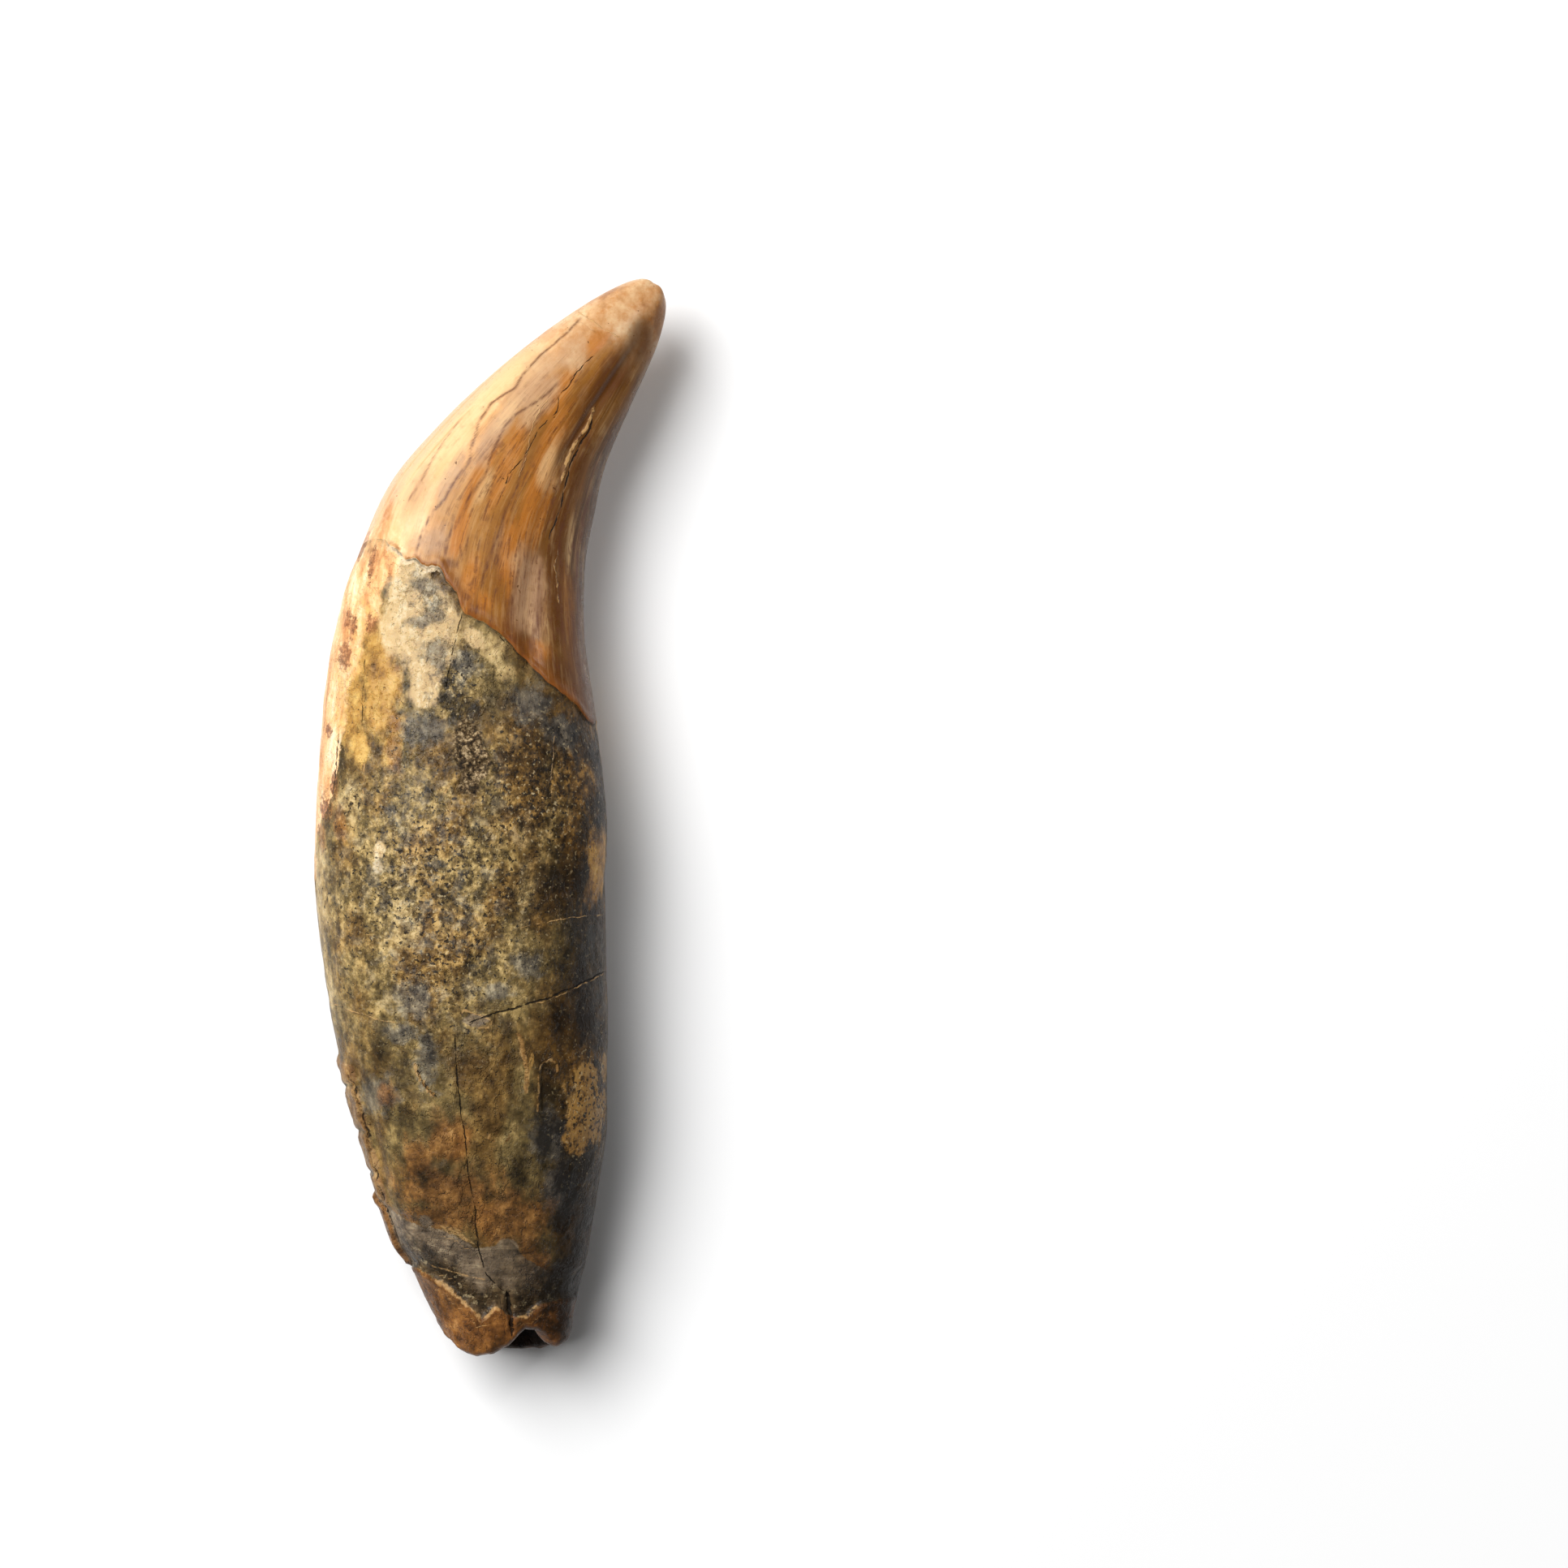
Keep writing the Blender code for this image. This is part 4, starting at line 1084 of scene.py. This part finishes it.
def crown_colour(f):
    """Enamel: cream at the convex edge, honey to umber across to the concave edge, in bands that
    run with the grain and narrow to the tip, with a pale worn tip. The darkening towards the
    concave edge is partly the enamel's colour and partly painted shade."""
    grain = f.field("grain", "Vector")
    broad = f.noise(2.6, 1, 3.0, 0.5, grain, bend=0.6)
    band = f.noise(1.2, 2, 4.0, 0.55, grain, bend=0.4)
    thin = f.noise(0.30, 3, 4.0, 0.6, grain, bend=0.2)
    cloud = f.noise(3.0, 4, 4.0, 0.55, stretch=(1, 1.8, 1))
    small = f.noise(0.8, 5, 4.0, 0.6)
    across = f.plus(f.field("across"), f.swing(broad, 0.7), f.swing(band, 0.4), f.swing(cloud, 0.6))
    # The ramp across the crown: darker towards the concave edge partly as painted shade, with a painted
    # reflection near that edge.
    colour = f.ramp(f.rise_linear(across, -1.0, 1.0), CROWN_ACROSS)
    wide = f.rise(broad, 0.50, 0.68)
    colour = f.lay(colour, HONEY_BAND, wide, f.rise(band, 0.36, 0.60), 0.35)
    for name, shade, noise, soft, raggedness, share in (
        ("amber", HONEY_BAND, band, 0.22, 1.2, 0.8),
        ("mauve", MAUVE_BAND, cloud, 0.25, 1.2, 0.75),
        ("milky", PALE_BAND, band, 0.28, 1.0, 0.4),
        ("umber", UMBER_BAND, band, 0.25, 1.2, 0.75),
    ):
        colour = f.lay(colour, shade, f.ragged(name, noise, 0.5, soft, raggedness), share)
    below = f.rise(f.field("height"), TIP_FROM_Y, TIP_TO_Y, 1.0, 0.0)
    edge = f.times(f.field("brown_edge"), f.rise(cloud, 0.36, 0.56))
    colour = f.lay(colour, EDGE_BROWN, edge, 0.85)
    pale = f.rise(cloud, 0.48, 0.70)
    colour = f.lay(colour, PALE_BAND, pale, f.rise(band, 0.35, 0.70), 0.4)
    streaky = f.times(below, f.rise(f.field("across"), -0.75, 0.1, 0.04, 0.30))
    colour = f.lay(colour, DARK_STREAK, f.rise(thin, 0.50, 0.66), streaky)
    colour = f.lay(colour, PALE_BAND, f.rise(thin, 0.50, 0.34), below, 0.14)
    colour = f.lay(colour, DARK_STREAK, f.rise(small, 0.56, 0.70), 0.18)
    worn = f.rise(f.plus(f.field("height"), f.swing(cloud, 9.0)), 39.0, 44.5)
    tip = f.plus(cloud, f.swing(f.noise(1.2, 53, 5.0, 0.65), 0.5))
    colour = f.lay(colour, f.ramp(tip, WORN_TIP), worn, 0.80)
    mottle = f.rise(f.noise(0.55, 8, 4.0, 0.65), 0.52, 0.66)
    colour = f.lay(colour, HONEY_BAND, worn, mottle, 0.35)
    colour = f.lay(colour, UMBER_BAND, f.ragged("smudge", cloud, 0.42, 0.32, 0.9), 0.8)
    for size, seed, share in ((1.5, 54, 0.55), (0.8, 55, 0.38)):
        ridge = f.math("ABSOLUTE", f.swing(f.noise(size, seed, 4.0, 0.6, grain, bend=0.8), 1.0))
        vein = f.times(f.rise(ridge, 0.004, 0.024, 1.0, 0.0), f.rise(small, 0.38, 0.56))
        colour = f.lay(colour, GROWTH_LINE, vein, streaky, share * 3.4)
    line = f.times(f.field("growth"), f.rise(f.noise(0.9, 6, 4.0, 0.6), 0.36, 0.56, 0.35, 1.0))
    colour = f.lay(colour, GROWTH_LINE, line, 0.9)
    speck = f.rise(f.noise(0.5, 7, 2.0, 0.5), 0.73, 0.76)
    colour = f.lay(colour, UMBER_BAND, speck, 0.8)
    return colour


def root_colour(f):
    """Root: each zone has its own ramp from dark through middle to light, and one fine mottle
    runs through all of them, moved up or down by the light and dark clouds. Towards the concave
    side it is darker, partly for the root's own colour there and partly as painted shade."""
    big = f.noise(5.5, 11, 4.0, 0.55, stretch=(1, 1.5, 1))
    middle = f.noise(1.8, 12, 5.0, 0.62, stretch=(1, 1.8, 1))
    small = f.noise(0.85, 13, 4.0, 0.65, stretch=(1, 1.2, 1))
    fine = f.noise(0.40, 14, 3.0, 0.6)
    clouds = f.noise(1.1, 19, 5.0, 0.7)
    grain = f.rise(f.field("speckled"), 0.1, 0.9, 0.45, 1.15)
    light = f.plus(
        0.5,
        f.times(f.swing(small, 0.95), grain),
        f.times(f.swing(fine, 0.4), grain),
        f.swing(middle, 0.62),
        f.times(f.field("pale_specks"), 0.06),
        f.times(f.field("dark"), -0.20),
        # Darker towards the concave side: partly the root's colour, partly painted shade.
        f.times(f.field("across"), -0.035),
    )
    colour = f.ramp(light, ZONES["olive"])
    brown = f.rise(f.plus(big, f.times(f.field("across"), 0.05)), 0.44, 0.60)
    colour = f.lay(colour, f.ramp(light, ZONES["brown"]), brown, 0.75)
    # Painted shade, in part: the shade ramp laid over the concave side, which is also darker brown in
    # itself.
    shade = f.rise(f.plus(f.field("across"), f.swing(big, 1.4), f.swing(middle, 0.6)), 0.25, 0.90)
    colour = f.lay(colour, f.ramp(light, ZONES["shade"]), shade, 0.85)
    for name, noise, edge, soft, raggedness, share in (
        ("honey", middle, 0.48, 0.20, 1.3, 0.8),
        ("khaki", middle, 0.46, 0.22, 1.2, 0.8),
        ("cream", middle, 0.48, 0.12, 1.1, 0.95),
        ("slate", clouds, 0.46, 0.22, 1.6, 0.72),
        ("rust", middle, 0.46, 0.26, 1.5, 0.70),
        ("grey", middle, 0.50, 0.07, 0.8, 0.85),
        ("tan", middle, 0.45, 0.06, 0.8, 0.92),
        ("crust", small, 0.46, 0.20, 0.8, 0.5),
    ):
        colour = f.lay(colour, f.ramp(light, ZONES[name]),
                       f.ragged(name, noise, edge, soft, raggedness), share)
    threshold = f.math("SUBTRACT", 0.70, f.times(f.field("speckled"), 0.16))
    speck = f.rise(f.math("SUBTRACT", f.noise(0.42, 15, 3.0, 0.55), threshold), 0.0, 0.035)
    calm = f.rise(f.field("cream"), 0.35, 0.6, 0.9, 0.45)
    colour = f.lay(colour, MANGANESE_AND_SHADOW, speck, calm)
    tint = f.times(f.rise(f.noise(1.5, 18, 4.0, 0.6), 0.50, 0.62), f.field("speckled"))
    tint = f.times(tint, f.rise(f.field("across"), 0.2, 0.6, 1.0, 0.2))
    colour = f.lay(colour, f.ramp(light, ZONES["slate"]), tint, 0.55)
    fleck = f.rise(f.noise(0.36, 16, 2.0, 0.5), 0.62, 0.70)
    colour = f.lay(colour, PALE_FLECK, fleck, f.field("speckled"), 0.55)
    below = f.field("below_belt")
    above = f.field("above_end")
    bare = f.times(f.rise(f.plus(below, f.swing(small, 1.2)), -0.1, 0.12), f.rise(above, 0.0, 0.1))
    veil = f.rise(f.plus(above, f.swing(middle, 3.0)), 1.6, 3.2)
    veil = f.times(veil, f.rise(f.plus(f.field("across"), f.swing(small, 1.2)), -0.2, 0.4, 1.0, 0.35))
    streaks = f.swing(f.noise(0.7, 52, 3.0, 0.5, stretch=(5, 1, 1), bend=1.2), 0.5)
    belt = f.ramp(f.plus(light, streaks, -0.11), ZONES["belt"])
    colour = f.lay(colour, belt, bare, 0.9)
    film = f.ramp(f.plus(light, streaks, 0.02), ZONES["grey"])
    colour = f.lay(colour, film, bare, veil, 0.85)
    dots = f.times(f.rise(f.noise(0.7, 56, 4.0, 0.65), 0.56, 0.66), f.rise(above, 1.4, 2.8, 1.0, 0.0))
    convex = f.rise(f.field("across"), 0.2, 0.6, 0.4, 0.05)
    colour = f.lay(colour, PALE_FLECK, bare, dots, convex)
    peeled = f.rise(f.plus(above, f.swing(fine, 0.5)), -0.02, 0.1, 1.0, 0.0)
    colour = f.lay(colour, f.ramp(f.plus(light, -0.03), ZONES["rust"]), peeled, 0.85)
    return colour


def splinter_colour(f, colour, grainy, fine):
    """The splinter's brown plate, the painted shadow in the gap on its upper side, and the grey
    surface beside it that it has left bare."""
    around = f.plus(f.field("around"), f.swing(grainy, 8.0))
    splinter = f.plus(f.field("splinter"), f.swing(fine, 0.10))
    near = f.rise(splinter, -0.55, -0.35)
    bare = f.times(
        near,
        f.rise(around, BARE_FROM_ANGLE, BARE_FROM_ANGLE + BARE_FADE_IN),
        f.rise(around, BARE_TO_ANGLE - BARE_FADE_OUT, BARE_TO_ANGLE, 1.0, 0.0),
    )
    colour = f.lay(colour, f.ramp(grainy, ZONES["grey"]), bare, 0.85)
    colour = f.lay(colour, f.ramp(grainy, ZONES["plate"]), f.rise(splinter, 0.0, 0.06), 0.9)
    # Painted shadow: a black band in the gap under the splinter's upper edge.
    gap_shadow = f.times(f.rise(splinter, -0.16, -0.10), f.rise(splinter, -0.02, 0.03, 1.0, 0.0))
    gap_shadow = f.times(gap_shadow, f.rise(f.field("around"), GAP_FADE_FROM, GAP_FADE_TO, 1.0, 0.0))
    return f.lay(colour, CRACK_AND_SHADOW, gap_shadow, 0.95)


def tongue_colour(f, colour, grainy, fine):
    """The tongue of pale cementum, with streaks, warm patches and spots. Its margin is sharp on the
    upper side of the root, and soft towards the crown and on the underside, and it fades out at
    its lower end."""
    upper_part = f.rise(f.field("height"), 5.0, 11.0)
    lower_part = f.rise(f.field("height"), 2.5, -1.5)
    underside = f.rise(f.field("around"), 184.0, 196.0)
    loose = f.most(f.most(upper_part, lower_part), underside)
    margin = f.times(loose, f.swing(f.noise(2.4, 46, 4.0, 0.6), 6.0))
    tongue = f.plus(f.field("tongue"), f.swing(grainy, 1.8), margin)
    soft = f.plus(0.12, f.times(f.most(upper_part, underside), 0.7))
    tongue = f.rise(tongue, f.math("MULTIPLY", soft, -1.0), soft)
    streaks = f.noise(1.6, 33, 4.0, 0.6, stretch=(1, 3.5, 1))
    pale = f.ramp(f.plus(streaks, f.swing(fine, 0.2)), ZONES["cementum"])
    warm = f.ragged("honey", grainy, 0.45, 0.2, 1.2)
    pale = f.lay(pale, f.ramp(grainy, ZONES["honey"]), warm, 0.5)
    spots = f.ragged("rust", f.noise(0.7, 47, 5.0, 0.7), 0.46, 0.14, 1.9)
    pale = f.lay(pale, f.ramp(fine, ZONES["spot"]), spots, 0.85)
    uneven = f.plus(f.field("height"), f.swing(grainy, 8.0))
    along = f.times(f.rise(uneven, -11.0, 0.5, 0.0, 1.0), f.rise(uneven, 22.0, 28.0, 1.0, 0.0))
    return f.lay(colour, pale, tongue, along)


def edge_colour(f, colour, grainy, past):
    """The chipped edge: a brown stain on the enamel's rim, pale crumbs where the root's skin is
    broken below it, and painted shadow under the ledge."""
    chipped = f.field("chipped")
    rim = f.times(chipped, f.rise(past, -0.45, -0.1), f.rise(past, 0.02, 0.08, 1.0, 0.0))
    colour = f.lay(colour, RIM_STAIN, rim, f.rise(grainy, 0.40, 0.6), 0.75)
    broken = f.times(chipped, f.rise(f.field("around"), 100, 106), f.rise(past, 0.03, 0.08))
    broken = f.times(broken, f.rise(f.plus(past, f.swing(grainy, 1.6)), 0.35, 0.6, 1.0, 0.0))
    colour = f.lay(colour, CRUMBS, broken, 0.75)
    # Painted shadow: a dark band just below the enamel's ledge.
    ledge_shadow = f.times(chipped, f.rise(past, 0.02, 0.10), f.rise(past, 0.12, 0.45, 1.0, 0.0))
    return f.lay(colour, MANGANESE_AND_SHADOW, ledge_shadow, f.rise(grainy, 0.42, 0.6), 0.7)


def fine_relief(f, root_share, dark_line, pale_line):
    """The finest relief, for the bump: grain, pits, plates and flakes on the root, stronger in
    rugged patches and on its lower part, faint ridges on the crown, and the lines."""
    pitted = f.times(f.rise(f.noise(0.35, 38, 2.0), 0.60, 0.70), -0.5)
    plates = f.times(f.rise(f.noise(2.2, 42, 5.0, 0.62, stretch=(1, 1.8, 1)), 0.50, 0.53), 0.35)
    flakes = f.times(f.rise(f.noise(1.1, 43, 4.0, 0.62, stretch=(1, 1.5, 1)), 0.58, 0.61), 0.35)
    rugged = f.rise(f.noise(6.0, 44, 3.0, 0.55), 0.36, 0.60, 0.35, 1.0)
    broad = f.times(f.noise(0.7, 39, 4.0, 0.6), 0.8)
    grain = f.times(f.noise(0.22, 45, 2.0), 0.15)
    skin = f.plus(broad, pitted, plates, flakes, grain)
    lower_root = f.rise(f.field("height"), -12.0, -24.0, 0.0, 0.35)
    skin = f.times(f.plus(skin, f.times(f.plus(plates, flakes), lower_root, 2.0)), root_share, rugged)
    below = f.rise(f.field("height"), TIP_FROM_Y, TIP_TO_Y, 1.0, 0.0)
    ridges = f.noise(0.5, 40, 3.0, 0.5, f.field("grain", "Vector"), bend=0.3)
    skin = f.plus(skin, f.times(ridges, below, 0.06))
    return f.plus(skin, f.times(dark_line, -1.2), f.times(pale_line, 0.3))


def tooth_finish(look):
    """Enamel and root in one material: the crown's colours down to the enamel's edge, the root's
    below it, the tongue of cementum, the edge's stains and the painted shadow under its ledge, the
    crumbly patch, lines with a painted shadow line among them, broken edges with painted highlights,
    splinter with painted shadow in its gap, and canal laid over them in turn, and then gloss, bump
    and translucency."""
    f = Finish("fossil_tooth")
    fine = f.noise(0.4, 31, 3.0, 0.6)
    grainy = f.noise(0.9, 32, 4.0, 0.62)
    past = f.field("past_edge")
    enamel = f.rise(past, 0.03, 0.10, 1.0, 0.0)
    colour = f.mix(root_colour(f), crown_colour(f), enamel)
    colour = tongue_colour(f, colour, grainy, fine)
    colour = edge_colour(f, colour, grainy, past)

    grit = f.field("grit")
    colour = f.lay(colour, f.ramp(f.noise(0.45, 41, 4.0, 0.7), ZONES["grit"]), grit, 0.95)

    wander = f.swing(f.noise(0.5, 34, 2.0), 0.22)
    width_noise = f.noise(0.8, 35, 2.0)
    pale_line = f.line("pale", width_noise, wander)
    edge_line = f.line("edge", width_noise, wander, 0.08)
    dark_line = f.line("dark", width_noise, wander)
    colour = f.lay(colour, MINERAL_AND_EDGE_HIGHLIGHT, pale_line, f.rise(grainy, 0.38, 0.55), 0.65)
    # Painted highlight, in part: a pale line on the broken edges, which is also their fresh pale
    # material.
    colour = f.lay(colour, MINERAL_AND_EDGE_HIGHLIGHT, edge_line, f.rise(grainy, 0.36, 0.52), 0.6)
    faint = f.rise(width_noise, 0.30, 0.44, 0.35, 1.0)
    # Dark lines: open cracks, and a painted shadow along the crust's edge.
    colour = f.lay(colour, CRACK_AND_SHADOW, dark_line, faint, 0.9)
    # Painted highlight, in part: a paler strip on the higher side of each flake's broken edge, which is
    # also the bare broken face.
    pale_lit_faces = f.rise(f.plus(f.field("pale_lit_faces"), f.swing(fine, 0.8), f.swing(grainy, 0.9)), 0.40, 0.66)
    colour = f.lay(colour, f.ramp(grainy, ZONES["pale_lit_face"]), pale_lit_faces, 0.75)
    colour = splinter_colour(f, colour, grainy, fine)

    canal = f.most(f.rise(f.field("inner"), 0.6, 1.0), f.rise(f.field("deep"), 0.0, 0.1))
    colour = f.lay(colour, f.ramp(grainy, ZONES["canal"]), canal, 0.95)
    f.give(f.shader.inputs["Base Color"], colour)

    root_share = f.math("SUBTRACT", 1.0, enamel)
    roughness = f.plus(
        look.enamel_roughness,
        f.swing(f.noise(0.7, 37, 4.0, 0.7), 0.6),
        f.times(root_share, look.root_roughness - look.enamel_roughness),
        f.times(f.most(grit, dark_line), 0.3),
    )
    f.give(f.shader.inputs["Roughness"], roughness)

    bump = f.tree.nodes.new("ShaderNodeBump")
    bump.inputs["Strength"].default_value = look.bump
    bump.inputs["Distance"].default_value = BUMP_HEIGHT * MM
    height = fine_relief(f, root_share, dark_line, pale_line)
    f.give(bump.inputs["Height"], height)
    f.give(f.shader.inputs["Normal"], bump.outputs["Normal"])
    f.shader.inputs["Subsurface Weight"].default_value = look.translucency
    f.shader.inputs["Subsurface Radius"].default_value = SINK_SHARES
    f.shader.inputs["Subsurface Scale"].default_value = SINK_DEPTH * MM
    f.shader.inputs["IOR"].default_value = REFRACTION
    f.shader.inputs["Specular IOR Level"].default_value = look.shine
    return f.material


class FossilToothForm(bpy.types.PropertyGroup):
    """Heights of the tooth's relief, in millimetres."""

    enamel_step: FloatProperty(name="Enamel step", description="Height of the enamel over the root",
                               default=0.32, min=0.0, max=1.0)
    wall: FloatProperty(name="Wall", description="Thickness of the wall at the broken end",
                        default=1.7, min=0.5, max=4.0)
    canal_depth: FloatProperty(name="Canal depth", description="Depth of the pulp canal",
                               default=14.0, min=2.0, max=30.0)
    crust_height: FloatProperty(name="Crust height", description="Height of the crust of cementum",
                                default=0.34, min=0.0, max=1.0)
    splinter_height: FloatProperty(name="Splinter height", description="Height of the lifted splinter",
                                   default=0.5, min=0.0, max=1.0)
    peel_step: FloatProperty(name="Peel step", description="Depth of the peeled belt near the end",
                             default=0.35, min=0.0, max=1.0)


class FossilToothLook(bpy.types.PropertyGroup):
    """Finish of the enamel and the root."""

    enamel_roughness: FloatProperty(name="Enamel roughness", description="Roughness of the crown",
                                    default=0.32, min=0.0, max=1.0, subtype="FACTOR")
    root_roughness: FloatProperty(name="Root roughness", description="Roughness of the root",
                                  default=0.40, min=0.0, max=1.0, subtype="FACTOR")
    shine: FloatProperty(name="Shine", description="Strength of the reflections",
                         default=0.15, min=0.0, max=1.0, subtype="FACTOR")
    bump: FloatProperty(name="Bump", description="Strength of the finest relief",
                        default=0.85, min=0.0, max=1.0, subtype="FACTOR")
    translucency: FloatProperty(name="Translucency",
                                description="Share of light that sinks into the surface",
                                default=0.12, min=0.0, max=1.0, subtype="FACTOR")


class FossilToothStage(bpy.types.PropertyGroup):
    """The floor, the lights and the camera."""

    floor_colour: FloatVectorProperty(name="Floor", description="Colour of the floor", subtype="COLOR",
                                      size=3, min=0.0, max=1.0, default=(0.86, 0.86, 0.86))
    key_power: FloatProperty(name="Key power", description="Power of the key light, in watts",
                             default=62.0)
    key_size: FloatProperty(name="Key size", description="Width of the key light", default=1.4,
                            subtype="DISTANCE", unit="LENGTH")
    sky: FloatProperty(name="Sky", description="Strength of the light from all round", default=0.10)
    view_width: FloatProperty(name="View width", description="Width of the camera's view at the tooth",
                              default=0.14007, subtype="DISTANCE", unit="LENGTH")
    fill_power: FloatProperty(name="Fill power",
                              description="Power of the spot beside the crown, in watts",
                              default=3.2)
    lens: FloatProperty(name="Lens", description="Focal length of the camera, in millimetres",
                        default=150.0)


class FOSSIL_OT_build_tooth(bpy.types.Operator):
    """Build the tooth's skin and its finish"""

    bl_idname = "fossil.build_tooth"
    bl_label = "Build tooth"

    def execute(self, context):
        scene = context.scene
        points, poles, fields, grain = grown_skin(scene.fossil_form)
        mesh = closed_mesh("tooth_skin", points, poles)
        for name, values in fields.items():
            store(mesh, name, values)
        store(mesh, "grain", grain)
        mesh.materials.append(tooth_finish(scene.fossil_look))
        tooth = bpy.data.objects.new("tooth_skin", mesh)
        scene.collection.objects.link(tooth)
        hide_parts("canine_tooth")
        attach(tooth, "root")
        return {"FINISHED"}


def hang_light(scene, light, middle, towards, distance):
    """Hangs a light at a distance from a place, in a direction, so that it shines at the place."""
    direction = Vector(towards).normalized()
    lamp = bpy.data.objects.new(light.name, light)
    lamp.location = Vector(middle) + direction * distance
    lamp.rotation_euler = direction.to_track_quat("Z", "Y").to_euler()
    scene.collection.objects.link(lamp)


class FOSSIL_OT_build_stage(bpy.types.Operator):
    """Build the floor, the lights and the camera"""

    bl_idname = "fossil.build_stage"
    bl_label = "Build stage"

    def execute(self, context):
        scene = context.scene
        stage = scene.fossil_stage
        mesh = bpy.data.meshes.new("floor")
        turns = ((-1, -1), (1, -1), (1, 1), (-1, 1))
        corners = [(x * FLOOR_HALF, y * FLOOR_HALF, 0) for x, y in turns]
        mesh.from_pydata(corners, [], [(0, 1, 2, 3)])
        finish = Finish("floor_white")
        finish.shader.inputs["Base Color"].default_value = (*stage.floor_colour, 1.0)
        finish.shader.inputs["Roughness"].default_value = FLOOR_ROUGHNESS
        finish.shader.inputs["Specular IOR Level"].default_value = FLOOR_SHINE
        mesh.materials.append(finish.material)
        floor = bpy.data.objects.new("floor", mesh)
        scene.collection.objects.link(floor)

        world = bpy.data.worlds.new("studio")
        scene.world = world
        world.use_nodes = True
        world.node_tree.nodes["Background"].inputs["Color"].default_value = (1, 1, 1, 1)
        world.node_tree.nodes["Background"].inputs["Strength"].default_value = stage.sky

        key = bpy.data.lights.new("key", "AREA")
        key.shape = "SQUARE"
        key.size = stage.key_size
        key.energy = stage.key_power
        hang_light(scene, key, KEY_MIDDLE, KEY_TOWARDS, KEY_DISTANCE)

        fill = bpy.data.lights.new("fill", "SPOT")
        fill.energy = stage.fill_power
        fill.spot_size = math.radians(FILL_ANGLE)
        fill.spot_blend = 1.0
        fill.shadow_soft_size = FILL_RADIUS
        hang_light(scene, fill, FILL_MIDDLE, FILL_TOWARDS, FILL_DISTANCE)

        camera = bpy.data.cameras.new("camera")
        camera.lens = stage.lens
        camera.sensor_width = SENSOR_WIDTH
        camera.clip_start = NEAREST
        height = (SOLID_LOW.z + SOLID_HIGH.z) / 2
        view = bpy.data.objects.new("camera", camera)
        view.location = (*VIEW_MIDDLE, height + stage.view_width * stage.lens / SENSOR_WIDTH)
        scene.collection.objects.link(view)
        scene.camera = view
        scene.view_settings.view_transform = "Standard"
        return {"FINISHED"}


class FOSSIL_PT_tooth(bpy.types.Panel):
    """Lists the operators, and the sizes and values that they read"""

    bl_label = "Fossil Tooth"
    bl_idname = "FOSSIL_PT_tooth"
    bl_space_type = "VIEW_3D"
    bl_region_type = "UI"
    bl_category = "Fossil Tooth"

    def draw(self, context):
        for operator in OPERATORS:
            self.layout.operator(operator.bl_idname)
        scene = context.scene
        for group in (scene.fossil_form, scene.fossil_look, scene.fossil_stage):
            for name in group.bl_rna.properties.keys():
                if name not in ("rna_type", "name"):
                    self.layout.prop(group, name)


GROUPS = (FossilToothForm, FossilToothLook, FossilToothStage)
OPERATORS = (FOSSIL_OT_build_tooth, FOSSIL_OT_build_stage)
CLASSES = (*GROUPS, *OPERATORS, FOSSIL_PT_tooth)


def register():
    """Adds the classes, and the groups of values to the scene."""
    for item in CLASSES:
        bpy.utils.register_class(item)
    bpy.types.Scene.fossil_form = PointerProperty(type=FossilToothForm)
    bpy.types.Scene.fossil_look = PointerProperty(type=FossilToothLook)
    bpy.types.Scene.fossil_stage = PointerProperty(type=FossilToothStage)


def unregister():
    """Takes the groups of values and the classes away again."""
    del bpy.types.Scene.fossil_form, bpy.types.Scene.fossil_look, bpy.types.Scene.fossil_stage
    for item in reversed(CLASSES):
        bpy.utils.unregister_class(item)


def main():
    """Registers the classes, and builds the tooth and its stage."""
    register()
    bpy.ops.fossil.build_tooth()
    bpy.ops.fossil.build_stage()


if __name__ == "__main__":
    main()
